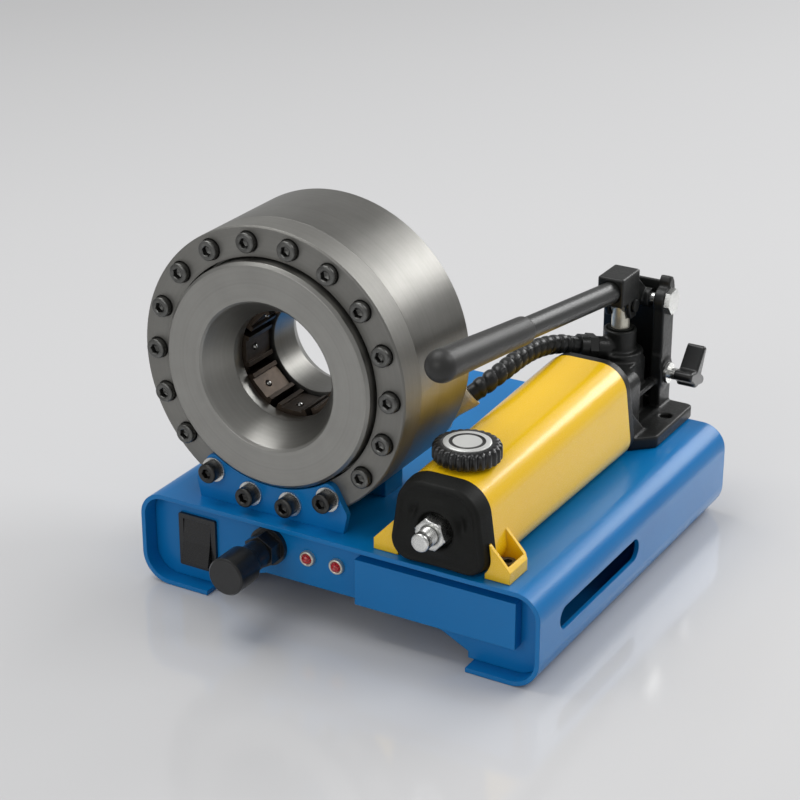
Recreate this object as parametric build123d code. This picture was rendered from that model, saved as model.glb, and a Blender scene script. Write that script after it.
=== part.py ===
from build123d import *
import os
from math import cos, pi, radians, sin, sqrt, tan

# Hose crimping machine: a bent-sheet base carries a ring-shaped crimping head and a hand pump.
# Frame: X to the right, Y to the back, Z up; origin at the middle of the base, on its underside.
# Millimetres. "depth" values run backwards from the front edge of the base shell.

# ---- base ----------------------------------------------------------------------------------
BASE_WIDTH = 290.0
BASE_BEHIND_FOOT = 21.4          # foot screws of the pump to the back edge
BASE_HEIGHT = 64.0
SHEET = 3.0                      # shell and panels
TOP_BEND_R = 17.0
FOOT_BEND_R = 20.0
FOOT_FLANGE = 50.0               # width of each inward foot flange
WELD_GAP = 0.2                   # panel edge to shell
PANEL_DEPTH = 11.4               # front edge of shell to panel face
PANEL_ARCH_HEIGHT = 22.0         # clear height under the panels between the feet
PANEL_ARCH_TOP = 112.0           # width of the arch at its top
PANEL_ARCH_FOOT = 182.0          # width of the arch at the floor
ARCH_LOW_SHARE = 0.35            # heights of the two shoulders of the arch
ARCH_HIGH_SHARE = 0.75
HAND_SLOT_LENGTH = 113.0
HAND_SLOT_HEIGHT = 15.6
HAND_SLOT_DEPTH = 83.5           # middle of the slot
HAND_SLOT_Z = 35.8
BENCH_HOLE_R = 4.5
BENCH_HOLE_X = 118.0
BENCH_HOLE_Y = 105.0

# ---- drawer --------------------------------------------------------------------------------
DRAWER_SHEET = 1.5
DRAWER_SIDE_GAP = 18.0           # drawer front to the right side of the base
DRAWER_FRONT_WIDTH = 112.0
DRAWER_FRONT_Z0 = 23.0
DRAWER_FRONT_Z1 = 54.5
DRAWER_FRONT_DEPTH = 3.0         # face of the drawer front
TRAY_WIDTH = 100.0
TRAY_Z0 = 26.5
TRAY_Z1 = 50.0
TRAY_LENGTH = 150.0
DRAWER_CLEAR = 0.4
RAIL_LEG = 8.0

# ---- switch, lamps, adjuster -----------------------------------------------------------------
SWITCH_SIDE_GAP = 22.95          # bezel to the left side of the base
SWITCH_Z = 30.7
BEZEL_WIDTH = 28.5
BEZEL_HEIGHT = 37.5
BEZEL_PROUD = 2.2
BEZEL_BEHIND = 14.0
BEZEL_CORNER_R = 1.2
SWITCH_WALL = 1.5
SWITCH_FLOOR = 2.0
ROCKER_WIDTH = 20.6
ROCKER_R = 15.0                  # turning radius of the rocker's ends
ROCKER_PIVOT_PROUD = 1.0
ROCKER_CLEAR = 0.35
ROCKER_BACK = 7.0                # behind the pivot
ROCKER_TOP_PROUD = 0.4           # face in front of the pivot at its upper edge, middle and lower edge
ROCKER_MIDDLE_PROUD = 2.2
ROCKER_FOOT_PROUD = 5.6
LAMP_SHARES = (0.6407, 0.8388)   # places between the switch and the drawer
LAMP_Z = 41.5
LAMP_BEZEL_R = 5.2
LAMP_BEZEL_PROUD = 3.0
LAMP_BEZEL_EDGE = 1.4            # breadth and depth of the sloping edge
LAMP_BEZEL_SLOPE = 1.6
LAMP_THREAD_R = 3.9
LAMP_LENS_R = 3.3
LAMP_LENS_PROUD = 2.4
LAMP_LENS_GAP = 0.2
LAMP_THREAD_GAP = 0.1
LAMP_BEHIND = 9.0
ADJUSTER_SHARE = 0.3745          # place between the switch and the drawer
ADJUSTER_Z = 43.0
BUSH_FLANGE_R = 13.0
BUSH_FLANGE_T = 3.2
BUSH_HEX_AF = 20.0
BUSH_HEX_LENGTH = 10.0
BUSH_THREAD_R = 8.0
BUSH_BEHIND = 12.0
ADJUSTER_NUT_T = 5.0
ADJUSTER_NUT_AF = 24.0
SPINDLE_R = 4.0
RUNNING = 0.05                   # radial clearance of a running fit
KNOB_LENGTH = 37.0
KNOB_R = 12.5
KNOB_BODY = 20.0
KNOB_TAPER = 6.0
KNOB_NECK_R = 9.2
KNOB_EDGE = 1.0
KNOB_GAP = 0.4
SPINDLE_BEHIND = 26.0
COLLAR_R = 7.0
COLLAR_T = 4.0

# ---- crimping head -------------------------------------------------------------------------
HEAD_X = -52.3
HEAD_R = 95.0
HEAD_SEAT_GAP = 0.2              # barrel to top plate
RING_DEPTH = 17.4                # face of the front ring
RING_T = 19.5
HEAD_LENGTH = 82.0               # ring face to back of housing
RING_EDGE = 1.0
HOUSING_EDGE = 1.5
HOUSING_BORE_R = 78.0
REAR_WALL = 8.0
HUB_R = 42.0
HUB_FRONT_DEPTH = 68.0
HOSE_BORE_R = 31.0
HOSE_BORE_FLARE_R = 34.8
FLARE_LENGTH = 8.0
DISC_R = 74.0
DISC_PROUD = 7.5
DISC_GROOVE = 1.5                # open groove between disc and ring
DISC_FLANGE_T = 6.0
DISC_EDGE = 2.0
DISC_HUB_R = 59.0
FUNNEL_R = 49.4
FUNNEL_LIP = 1.5
THROAT_R = 36.3
THROAT_DEPTH = 30.0
SPIGOT_CLEAR = 0.15
SCREW_PCR = 85.0                 # pitch circle radius of the cover screws
SCREW_COUNT = 18
BRACKET_SCREW_COUNT = 4          # lowest screws, which also hold the bracket
M8_R = 4.0
M8_HEAD_R = 6.5
M8_HEAD_H = 8.0
M8_SOCKET_AF = 6.0
M8_SOCKET_DEPTH = 4.0
SCREW_CLEAR = 0.15
COUNTERBORE_CLEAR = 0.45
SCREW_HEAD_PROUD = 4.6
SCREW_ENGAGE = 14.0              # thread length inside the housing
WASHER_R = 8.2
WASHER_T = 1.5
BRACKET_T = 4.5
BRACKET_HALF_TOP = 46.0
BRACKET_HALF_WIDE = 56.4
BRACKET_HALF_FOOT = 53.5
BRACKET_WIDE_Z = 82.0            # below the head axis
BRACKET_CORNER_R = 6.0
BRACKET_TOP_SHARE = 0.84         # height of its horns on the radius of the disc groove

# ---- dies and piston -------------------------------------------------------------------------
DIE_COUNT = 8
DIE_FRONT_DEPTH = 38.7
DIE_LENGTH = 26.5
DIE_OPEN_R = 32.0
DIE_TRAVEL = 6.0                 # radial closing travel
DIE_SIDE_CLEAR = 0.15            # left on each side when closed
WEDGE_DEG = 22.5                 # wedge angle of the facets to the head axis
DIE_BACK_R = 66.0                # facet distance at the front of a die, open
WEDGE_CLEAR = 0.15
DIE_RIDGE = 3.2                  # width of the ridges along the die face
DIE_RIDGE_H = 1.0
DIE_PIN_R = 1.6
DIE_PIN_HOLE_R = 2.4
DIE_PIN_PROUD = 0.8
DIE_PIN_PLACE = 10.0             # from the front of the die
GUIDE_PIN_R = 3.0
GUIDE_PIN_CLEAR = 0.3
GUIDE_PIN_RADIUS = 47.0          # distance of the guide pins from the head axis
GUIDE_PIN_SEAT = 6.0
GUIDE_PIN_REACH = 3.5            # into the next die, open
GUIDE_PIN_END = 1.0              # left beyond the pin, closed
PISTON_CLEAR = 0.05
PISTON_WEB = 10.5
PISTON_BACK_GAP = 0.5
DIE_END_GAP = 0.2
SEAL_WIDTH = 4.0
SEAL_DEPTH = 3.0

# ---- saddle blocks under the back of the head ---------------------------------------------------
SADDLE_DEPTH = 70.0
SADDLE_LENGTH = 22.0
SADDLE_INNER = 22.0
SADDLE_OUTER = 50.0
SADDLE_GAP = 0.2

# ---- pump reservoir ---------------------------------------------------------------------------
PUMP_X = 74.3
PUMP_FLOOR = 0.3                 # clearance of the pump above the top plate
BODY_DEPTH = 13.5                # front end of the yellow body
BODY_LENGTH = 187.0
BODY_HALF_LOW = 35.0
BODY_HALF_TOP = 27.0
BODY_TOP_FRONT = 57.5            # height of the section above the plate, front end
BODY_TOP_REAR = 64.5
BODY_LOW_R = 13.0
BODY_TOP_R = 20.0
BODY_GROW = 1.5                  # growth of the half width to the rear
BODY_WALL = 3.0
LUG_DEPTH = 6.0
LUG_LENGTH = 25.0
LUG_HALF = 47.0
LUG_HEIGHT = 7.5
LUG_RIB_T = 2.6
LUG_RIB_TOP = 26.0
LUG_ROOT = 5.0                   # lug inside the side of the body
LUG_HOLE_X = 39.0
M6_R = 3.0
M6_HEAD_R = 5.0
M6_HEAD_H = 6.0
M6_SOCKET_AF = 5.0
SCREW_BELOW = 4.0                # lug screws below the top plate
LUG_SCREW_GAP = 0.05             # under their heads
BOOT_DEPTH = -1.0
BOOT_LIP = 0.6                   # boot stands this much outside the body
BOOT_CLEAR = 0.3                 # boot to the lugs
BOOT_EDGE = 3.0
TIE_Z = 27.5                     # tie rod above the plate
TIE_R = 6.0
TIE_END_DEPTH = -20.5
TIE_END_EDGE = 1.5
TIE_BACK_CLEAR = 2.0             # end of the rod to the back of the flange
NUT_AF = 19.0
NUT_T = 9.5
NUT_EDGE = 0.5                   # front chamfer starts this far inside the flats
NUT_CONE = 3.0
NUT_CONE_DEPTH = 2.0
BOOT_SEAT_R = 15.0
BOOT_SEAT = 2.0
CAP_DEPTH = 37.7
CAP_R = 23.0
CAP_H = 12.5
CAP_NECK_R = 13.0
CAP_GAP = 0.8
CAP_RIBS = 24
CAP_RIB_R = 1.4
CAP_RIB_OUT = 0.5                # middle of the notches outside the rim
CAP_EDGE = 1.6
CAP_DISC_R = 16.0
CAP_DISC_T = 1.2
CAP_DISC_GROOVE_R = 11.0
CAP_DISC_GROOVE = 1.6
BLADDER_GAP = 0.6

# ---- pump head --------------------------------------------------------------------------------
FLANGE_T = 8.0
VALVE_BODY_HALF = 25.0
VALVE_BODY_BACK = 8.0            # behind the gland axis
VALVE_BODY_TOP = 48.0            # above the plate
VALVE_BODY_R = 9.0
FOOT_HALF = 43.5
FOOT_FRONT = 10.5                # behind the reservoir
FOOT_BACK = 31.0                 # behind the gland axis
FOOT_T = 8.6
FOOT_CHAMFER = 14.0
FOOT_CORNER_R = 4.0
FOOT_HOLE_X = 34.5
FOOT_HOLE_BACK = 58.1            # behind the reservoir
FOOT_THREAD_GAP = 3.0            # end of the foot screws below the top of the foot
GLAND_BACK = 53.5                # gland axis behind the reservoir
GLAND_R = 11.2
GLAND_COLLAR = 5.0               # collar outside the gland
GLAND_COLLAR_TOP = 53.5
GLAND_TOP = 68.5
GLAND_MOUTH_R = 8.6
GLAND_MOUTH = 3.0
GLAND_RING_PROUD = 0.8
PLUNGER_R = 6.2
PLUNGER_REST = 30.0              # length of plunger inside the gland
PLUNGER_WELL = 4.0               # left below the plunger
EAR_INNER = 17.0                 # right ear
EAR_OUTER = 25.0
LEFT_EAR_INNER = -11.5
LEFT_EAR_OUTER = -19.5
EAR_FRONT = 14.6                 # behind the gland axis, as all depths of the ears
EAR_BACK = 32.5
EAR_HORN_FRONT = 22.5
EAR_HORN_TOP = 101.5
EAR_HORN_CORNER = (2.5, 3.0)     # bevel at the front of the horn, and its rounded back
EAR_HORN_CROWN = (6.0, 1.0)
EAR_HORN_HEEL = 1.0
EAR_BACK_CORNER = 6.0            # drop of the back edge below the top of the web
EAR_BOSS_R = 9.0
WEB_FRONT = 29.4                 # rear wall between the ears
WEB_TOP = 96.0
WEB_SLOPE = 1.0
WEB_CORNER = 3.0
EAR_BOLT_BACK = 22.2             # behind the gland axis
EAR_BOLT_Z = 84.9                # above the plate
EAR_BOLT_R = 4.0
BOLT_AF = 16.0
BOLT_HEAD_T = 4.0
BOLT_TURN = 10.0                 # degrees
BOLT_END_GAP = 1.0               # end of the bolt inside the left ear
BEAM_EYE_R = 6.6
BEAM_EYE_LEFT = -10.9
BEAM_EYE_RIGHT = 12.5
BEAM_TANG_HALF = 8.0
BLOCK_FRONT = 19.0               # in front of the gland axis
BLOCK_BACK = 8.0                 # behind it
BLOCK_HALF = 9.5
BLOCK_Z0 = 89.5
BLOCK_Z1 = 110.0
BLOCK_EDGE = 1.5
BEAM_ROOT = 2.0                  # cheeks and tang inside the block
CLEVIS_REACH = 8.2
CLEVIS_Z0 = 77.5
PLUNGER_PIN_R = 3.0
PLUNGER_PIN_Z = 86.0
PIN_SLOT = 2.0                   # travel of the plunger pin in the slots of the beam
PIN_SLOT_CLEAR = 0.25
PIN_HEAD_R = 4.4
PIN_HEAD_T = 1.4
PLUNGER_EYE_HALF = 5.0
PLUNGER_NECK = 3.0               # flats of the eye below its round end
PIN_HEAD_GAP = 0.4
PLUNGER_EYE_GAP = 1.3            # plunger eye to cheek and to the roof of the beam
LEVER_DEG = 8.0                  # rise of the lever at rest
LEVER_R = 7.4
LEVER_START = 6.0                # lever tube inside the block
LEVER_LENGTH = 232.0             # from the block face to the ball end
GRIP_LENGTH = 105.0
GRIP_R = 10.3
GRIP_NECK_R = 9.0
GRIP_NECK_EDGE = (0.6, 2.0)      # drop and length of the rounded mouth
GRIP_SOLID = 42.0                # solid length at the ball end
RELEASE_BACK = 23.0              # behind the gland axis
RELEASE_Z = 32.2
RELEASE_STEM_R = 4.0
RELEASE_STEM_IN = 10.0           # length of the stem inside the casting
RELEASE_STEM_HOLE = 14.0         # depth of its hole
RELEASE_BOSS_R = 10.0
RELEASE_BOSS_X = 26.0
RELEASE_GLAND_R = 7.3
RELEASE_GLAND_T = 2.4
RELEASE_KNOB_X = 36.0
RELEASE_KNOB_T = 13.0
RELEASE_HUB_R = 6.5
RELEASE_ARMS = (                 # turn, reach, tip radius and root of each wing
    (57.0, 23.0, 2.6, 5.4), (157.0, 12.5, 3.2, 5.6), (-25.0, 12.5, 3.2, 5.6))
RELEASE_EDGE = 1.0

# ---- hose -------------------------------------------------------------------------------------
HOSE_R = 6.6
HOSE_START = (                   # first points of the route, from the foot of the gland axis
    (-19.1, -26.0, 60.3), (-26.0, -34.5, 62.7))
HOSE_END = (                     # last points of the route, from the head port
    (26.22, 78.6, 27.66), (14.72, 22.6, 16.86))
HOSE_LAST_RUN = 20.0             # straight run in line with the head port
HOSE_END_SHARE = 0.9             # part of an end run that a bend may use
HOSE_RUN_SHARE = 0.48
SWIVEL_AF = 16.0
SWIVEL_HEX_T = 6.0
FERRULE_R = 8.0
FERRULE_LENGTH = 6.0
FITTING_LENGTH = 15.0
FITTING_TIP_R = 5.2
FITTING_RIM = 2.5
PORT_ANGLE = -37.0               # place of the head port about the head axis
PORT_RADIUS = 86.5
PORT_R = 7.5
PORT_REACH = 9.0                 # back of housing to the ball of the port elbow
PORT_SPIGOT_R = 5.0
PORT_SPIGOT = 5.0                # length of the spigot inside the housing wall
OUTLET_R = 7.5

# ---- worked out --------------------------------------------------------------------------------
BODY_BACK = BODY_DEPTH + BODY_LENGTH
FOOT_HOLE_DEPTH = BODY_BACK + FOOT_HOLE_BACK
BASE_DEPTH = FOOT_HOLE_DEPTH + BASE_BEHIND_FOOT
FRONT_Y = -BASE_DEPTH / 2
PLATE_Z = BASE_HEIGHT
HEAD_Z = PLATE_Z + HEAD_R + HEAD_SEAT_GAP
PUMP_Z = PLATE_Z + PUMP_FLOOR
FACET = 360.0 / DIE_COUNT
WEDGE = tan(radians(WEDGE_DEG))
HEAD_BACK = RING_DEPTH + HEAD_LENGTH
RING_BACK = RING_DEPTH + RING_T
PISTON_BACK = HEAD_BACK - REAR_WALL - PISTON_BACK_GAP
PISTON_STROKE = DIE_TRAVEL / WEDGE
DIE_BACK = DIE_FRONT_DEPTH + DIE_LENGTH
PISTON_FRONT = RING_BACK + PISTON_BACK_GAP + PISTON_STROKE
DRAWER_X = BASE_WIDTH / 2 - DRAWER_SIDE_GAP - DRAWER_FRONT_WIDTH / 2
SWITCH_X = SWITCH_SIDE_GAP + BEZEL_WIDTH / 2 - BASE_WIDTH / 2
FREE_X0 = SWITCH_X + BEZEL_WIDTH / 2
FREE_X1 = DRAWER_X - DRAWER_FRONT_WIDTH / 2
ADJUSTER_X = FREE_X0 + ADJUSTER_SHARE * (FREE_X1 - FREE_X0)
LAMP_X = [FREE_X0 + share * (FREE_X1 - FREE_X0) for share in LAMP_SHARES]
FIRST_BRACKET_SCREW = round(SCREW_COUNT * 0.75 - (BRACKET_SCREW_COUNT - 1) / 2)
BRACKET_SCREWS = range(FIRST_BRACKET_SCREW, FIRST_BRACKET_SCREW + BRACKET_SCREW_COUNT)
GLAND_DEPTH = BODY_BACK + GLAND_BACK
EAR_BOLT_DEPTH = GLAND_DEPTH + EAR_BOLT_BACK
RELEASE_DEPTH = GLAND_DEPTH + RELEASE_BACK
FLAT_ON_TOP = 30.0               # turn of a hexagon drawn across Y

PARTS = {}


def y_at(depth):
    """Y of a place so far behind the front edge of the base."""
    return FRONT_Y + depth


def along_y(sketch, depth, length):
    """Extrude a sketch drawn in X and Z backwards from the given depth."""
    plane = Plane(origin=(0, y_at(depth), 0), x_dir=(1, 0, 0), z_dir=(0, -1, 0))
    return extrude(plane * sketch, amount=-length)


def cyl_y(x, z, radius, depth, length):
    """Cylinder along Y."""
    return along_y(Pos(x, z) * Circle(radius), depth, length)


def cyl_x(y, z, radius, x0, x1):
    """Cylinder along X from x0 to x1."""
    plane = Plane(origin=(x0, y, z), x_dir=(0, 1, 0), z_dir=(1, 0, 0))
    return extrude(plane * Circle(radius), amount=x1 - x0)


def cyl_z(x, y, radius, z0, z1):
    """Cylinder along Z from z0 to z1."""
    return Pos(x, y, z0) * extrude(Circle(radius), amount=z1 - z0)


def block(x0, x1, y0, y1, z0, z1):
    """Box between two corners."""
    return Pos((x0 + x1) / 2, (y0 + y1) / 2, (z0 + z1) / 2) * Box(x1 - x0, y1 - y0, z1 - z0)


def hexagon(across_flats, turn=0.0):
    """Regular hexagon sketch by its width across flats."""
    return Rot(0, 0, turn) * RegularPolygon(radius=across_flats / sqrt(3), side_count=6)


def turned(points, x=0.0, z=0.0):
    """Solid of revolution about a Y axis through (x, z); points are (radius, depth)."""
    outline = Polyline(*[(r, y_at(d)) for r, d in points], close=True)
    return Pos(x, 0, z) * revolve(make_face(outline), axis=Axis.Y)


def keep(name, *solids):
    """File one node's solids under its name."""
    PARTS[name] = list(solids)


# ---- base ---------------------------------------------------------------------------------------

def shell_section(inset):
    """Closed outline of the shell, drawn in by inset."""
    width, height = BASE_WIDTH - 2 * inset, BASE_HEIGHT - 2 * inset
    face = Pos(0, BASE_HEIGHT / 2) * Rectangle(width, height)
    corners = face.vertices().sort_by(Axis.Y)
    face = fillet(corners[:2], FOOT_BEND_R - inset)
    return fillet(face.vertices().sort_by(Axis.Y)[-2:], TOP_BEND_R - inset)


def base_shell():
    """C-shaped shell with foot flanges, hand slots and bench holes."""
    section = shell_section(0) - shell_section(SHEET)
    section -= Pos(0, 0) * Rectangle(BASE_WIDTH - 2 * FOOT_FLANGE, 3 * SHEET)
    shell = along_y(section, 0, BASE_DEPTH)
    plane = Plane(origin=(-BASE_WIDTH, y_at(HAND_SLOT_DEPTH), HAND_SLOT_Z), x_dir=(0, 1, 0),
                  z_dir=(1, 0, 0))
    shell -= extrude(plane * SlotOverall(HAND_SLOT_LENGTH, HAND_SLOT_HEIGHT), amount=2 * BASE_WIDTH)
    for x in (-BENCH_HOLE_X, BENCH_HOLE_X):
        for y in (-BENCH_HOLE_Y, BENCH_HOLE_Y):
            shell -= cyl_z(x, y, BENCH_HOLE_R, -SHEET, 2 * SHEET)
    for side in (-1, 1):
        shell -= cyl_z(PUMP_X + side * LUG_HOLE_X, lug_screw_y(), M6_R + SCREW_CLEAR, BASE_HEIGHT / 2,
                       2 * BASE_HEIGHT)
        shell -= cyl_z(PUMP_X + side * FOOT_HOLE_X, y_at(FOOT_HOLE_DEPTH), M8_R + SCREW_CLEAR,
                       BASE_HEIGHT / 2, 2 * BASE_HEIGHT)
    return shell


def end_panel(depth):
    """Upright panel that closes one end of the shell, arched between the feet."""
    half_top, half_foot = PANEL_ARCH_TOP / 2, PANEL_ARCH_FOOT / 2
    shoulder = (half_top + half_foot) / 2
    low, high = PANEL_ARCH_HEIGHT * ARCH_LOW_SHARE, PANEL_ARCH_HEIGHT * ARCH_HIGH_SHARE
    right = [(half_top, PANEL_ARCH_HEIGHT), (shoulder, high), (half_foot, low), (half_foot, -SHEET)]
    left = [(-x, z) for x, z in reversed(right)]
    arch = make_face(Polyline(*left, *right, close=True))
    return along_y(shell_section(SHEET + WELD_GAP) - arch, depth, SHEET)


def front_panel():
    """Front panel with the cut-outs for drawer, switch, lamps and adjuster."""
    panel = end_panel(PANEL_DEPTH)
    tray_mid = (TRAY_Z0 + TRAY_Z1) / 2
    tray_hole = Rectangle(TRAY_WIDTH + 2 * DRAWER_CLEAR, TRAY_Z1 - TRAY_Z0 + 2 * DRAWER_CLEAR)
    holes = Pos(DRAWER_X, tray_mid) * tray_hole
    holes += Pos(SWITCH_X, SWITCH_Z) * Rectangle(switch_body_width(), switch_body_height())
    holes += Pos(ADJUSTER_X, ADJUSTER_Z) * Circle(BUSH_THREAD_R)
    for x in LAMP_X:
        holes += Pos(x, LAMP_Z) * Circle(LAMP_THREAD_R)
    return panel - along_y(holes, PANEL_DEPTH - SHEET, 3 * SHEET)


def drawer():
    """Tray with a folded front whose top lip is the finger pull."""
    x0, x1 = DRAWER_X - DRAWER_FRONT_WIDTH / 2, DRAWER_X + DRAWER_FRONT_WIDTH / 2
    back = PANEL_DEPTH - DRAWER_CLEAR
    front = block(x0, x1, y_at(DRAWER_FRONT_DEPTH), y_at(back), DRAWER_FRONT_Z0, DRAWER_FRONT_Z1)
    front -= block(x0 + SHEET, x1 - SHEET, y_at(DRAWER_FRONT_DEPTH + SHEET), y_at(back + SHEET),
                   DRAWER_FRONT_Z0 + SHEET, DRAWER_FRONT_Z1 - SHEET)
    t0, t1 = DRAWER_X - TRAY_WIDTH / 2, DRAWER_X + TRAY_WIDTH / 2
    start = DRAWER_FRONT_DEPTH + SHEET
    tray = block(t0, t1, y_at(start), y_at(start + TRAY_LENGTH), TRAY_Z0, TRAY_Z1)
    tray -= block(t0 + DRAWER_SHEET, t1 - DRAWER_SHEET, y_at(start), y_at(start + TRAY_LENGTH - DRAWER_SHEET),
                  TRAY_Z0 + DRAWER_SHEET, TRAY_Z1 + SHEET)
    return front + tray


def drawer_rails():
    """Two angle rails hung from the top plate that carry the tray."""
    rails = []
    y0, y1 = y_at(PANEL_DEPTH + SHEET + WELD_GAP), y_at(DRAWER_FRONT_DEPTH + SHEET + TRAY_LENGTH)
    under = TRAY_Z0 - DRAWER_CLEAR / 2
    for side in (-1, 1):
        wall = DRAWER_X + side * (TRAY_WIDTH / 2 + DRAWER_CLEAR)
        outer = wall + side * DRAWER_SHEET
        toe = outer - side * RAIL_LEG
        web = block(min(wall, outer), max(wall, outer), y0, y1, under - DRAWER_SHEET, BASE_HEIGHT - SHEET)
        leg = block(min(toe, outer), max(toe, outer), y0, y1, under - DRAWER_SHEET, under)
        rails.append(web + leg)
    return rails


# ---- switch, lamps, adjuster -----------------------------------------------------------------------

def switch_body_width():
    """Width of the switch body behind its bezel."""
    return ROCKER_WIDTH + 2 * (ROCKER_CLEAR + SWITCH_WALL)


def switch_body_height():
    """Height of the switch body behind its bezel."""
    return 2 * (ROCKER_R + ROCKER_CLEAR + SWITCH_WALL)


def switch_bezel():
    """Switch housing with its bezel, open at the front for the rocker."""
    place = Pos(SWITCH_X, SWITCH_Z)
    bezel = along_y(place * RectangleRounded(BEZEL_WIDTH, BEZEL_HEIGHT, BEZEL_CORNER_R),
                    PANEL_DEPTH - BEZEL_PROUD, BEZEL_PROUD)
    body = Rectangle(switch_body_width() - 2 * WELD_GAP, switch_body_height() - 2 * WELD_GAP)
    well = Rectangle(ROCKER_WIDTH + 2 * ROCKER_CLEAR, 2 * (ROCKER_R + ROCKER_CLEAR))
    bezel += along_y(place * body, PANEL_DEPTH, BEZEL_BEHIND)
    return bezel - along_y(place * well, PANEL_DEPTH - 2 * BEZEL_PROUD, 2 * BEZEL_PROUD + BEZEL_BEHIND
                           - SWITCH_FLOOR)


def rocker():
    """Rocker with two faces at a slight angle, resting with its lower end out."""
    pivot_y = y_at(PANEL_DEPTH - ROCKER_PIVOT_PROUD)
    drum = cyl_x(pivot_y, SWITCH_Z, ROCKER_R, SWITCH_X - ROCKER_WIDTH / 2, SWITCH_X + ROCKER_WIDTH / 2)
    profile = Polyline((ROCKER_BACK, ROCKER_R), (-ROCKER_TOP_PROUD, ROCKER_R), (-ROCKER_MIDDLE_PROUD, 0),
                       (-ROCKER_FOOT_PROUD, -ROCKER_R), (ROCKER_BACK, -ROCKER_R), close=True)
    plane = Plane(origin=(SWITCH_X - ROCKER_WIDTH / 2, pivot_y, SWITCH_Z), x_dir=(0, 1, 0), z_dir=(1, 0, 0))
    return drum & extrude(plane * make_face(profile), amount=ROCKER_WIDTH)


def lamp_bezel(x):
    """Bright bezel with a domed edge and a threaded barrel."""
    face = PANEL_DEPTH - LAMP_BEZEL_PROUD
    bore, thread = LAMP_LENS_R + LAMP_LENS_GAP, LAMP_THREAD_R - LAMP_THREAD_GAP
    points = [(bore, face), (LAMP_BEZEL_R - LAMP_BEZEL_EDGE, face), (LAMP_BEZEL_R, face + LAMP_BEZEL_SLOPE),
              (LAMP_BEZEL_R, PANEL_DEPTH), (thread, PANEL_DEPTH), (thread, PANEL_DEPTH + LAMP_BEHIND),
              (bore, PANEL_DEPTH + LAMP_BEHIND)]
    return turned(points, x, LAMP_Z)


def lamp_lens(x):
    """Lamp body with a domed red tip."""
    face = PANEL_DEPTH - LAMP_BEZEL_PROUD
    turns = [radians(angle) for angle in range(0, 91, 15)]
    dome = [(LAMP_LENS_R * sin(turn), face - LAMP_LENS_PROUD * cos(turn)) for turn in turns]
    back = PANEL_DEPTH + LAMP_BEHIND
    return turned(dome + [(LAMP_LENS_R, back), (0, back)], x, LAMP_Z)


def adjuster_bush():
    """Threaded bush with a hex and a round flange in front of the panel."""
    flange_front = PANEL_DEPTH - BUSH_FLANGE_T
    bush = cyl_y(ADJUSTER_X, ADJUSTER_Z, BUSH_FLANGE_R, flange_front, BUSH_FLANGE_T)
    bush += along_y(Pos(ADJUSTER_X, ADJUSTER_Z) * hexagon(BUSH_HEX_AF, FLAT_ON_TOP),
                    flange_front - BUSH_HEX_LENGTH, BUSH_HEX_LENGTH)
    bush += cyl_y(ADJUSTER_X, ADJUSTER_Z, BUSH_THREAD_R - SPIGOT_CLEAR, PANEL_DEPTH, BUSH_BEHIND)
    return bush - cyl_y(ADJUSTER_X, ADJUSTER_Z, SPINDLE_R + RUNNING, -BASE_DEPTH / 4, BASE_DEPTH / 2)


def adjuster_nut():
    """Hex nut that clamps the bush from behind."""
    start = PANEL_DEPTH + SHEET
    nut = along_y(Pos(ADJUSTER_X, ADJUSTER_Z) * hexagon(ADJUSTER_NUT_AF), start, ADJUSTER_NUT_T)
    return nut - cyl_y(ADJUSTER_X, ADJUSTER_Z, BUSH_THREAD_R, start - SHEET, ADJUSTER_NUT_T + 2 * SHEET)


def knob_back():
    """Depth of the back end of the adjuster knob."""
    return PANEL_DEPTH - BUSH_FLANGE_T - BUSH_HEX_LENGTH - KNOB_GAP


def adjuster_knob():
    """Stepped knob, thick at the hand end and necked towards the bush."""
    back = knob_back()
    front = back - KNOB_LENGTH
    shoulder = front + KNOB_BODY
    points = [(0, front), (KNOB_R - KNOB_EDGE, front), (KNOB_R, front + KNOB_EDGE), (KNOB_R, shoulder),
              (KNOB_NECK_R, shoulder + KNOB_TAPER), (KNOB_NECK_R, back), (SPINDLE_R, back),
              (SPINDLE_R, shoulder), (0, shoulder)]
    return turned(points, ADJUSTER_X, ADJUSTER_Z)


def adjuster_spindle():
    """Spindle from inside the knob to behind the panel, with a stop collar."""
    start = knob_back() - KNOB_LENGTH + KNOB_BODY
    spindle = cyl_y(ADJUSTER_X, ADJUSTER_Z, SPINDLE_R, start, PANEL_DEPTH + SPINDLE_BEHIND - start)
    collar_depth = PANEL_DEPTH + BUSH_BEHIND + KNOB_GAP
    return spindle + cyl_y(ADJUSTER_X, ADJUSTER_Z, COLLAR_R, collar_depth, COLLAR_T)


def build_base():
    """File the nodes of the base and its controls."""
    keep("base_shell", base_shell())
    keep("front_panel", front_panel())
    keep("rear_panel", end_panel(BASE_DEPTH - PANEL_DEPTH - SHEET))
    keep("drawer", drawer())
    keep("drawer_rails", *drawer_rails())
    keep("switch_bezel", switch_bezel())
    keep("switch_rocker", rocker())
    keep("lamp_bezels", *[lamp_bezel(x) for x in LAMP_X])
    keep("lamp_lenses", *[lamp_lens(x) for x in LAMP_X])
    keep("adjuster_bush", adjuster_bush())
    keep("adjuster_nut", adjuster_nut())
    keep("adjuster_knob", adjuster_knob())
    keep("adjuster_spindle", adjuster_spindle())


# ---- crimping head ----------------------------------------------------------------------------------

def on_circle(index, count, radius):
    """X and Z of one place on a circle about the head axis."""
    angle = radians(360.0 * index / count)
    return HEAD_X + radius * cos(angle), HEAD_Z + radius * sin(angle)


def screw_holes(radius, depth, length):
    """All cover screw holes as one cutting body."""
    holes = Sketch()
    for index in range(SCREW_COUNT):
        x, z = on_circle(index, SCREW_COUNT, SCREW_PCR)
        holes += Pos(x, z) * Circle(radius)
    return along_y(holes, depth, length)


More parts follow.
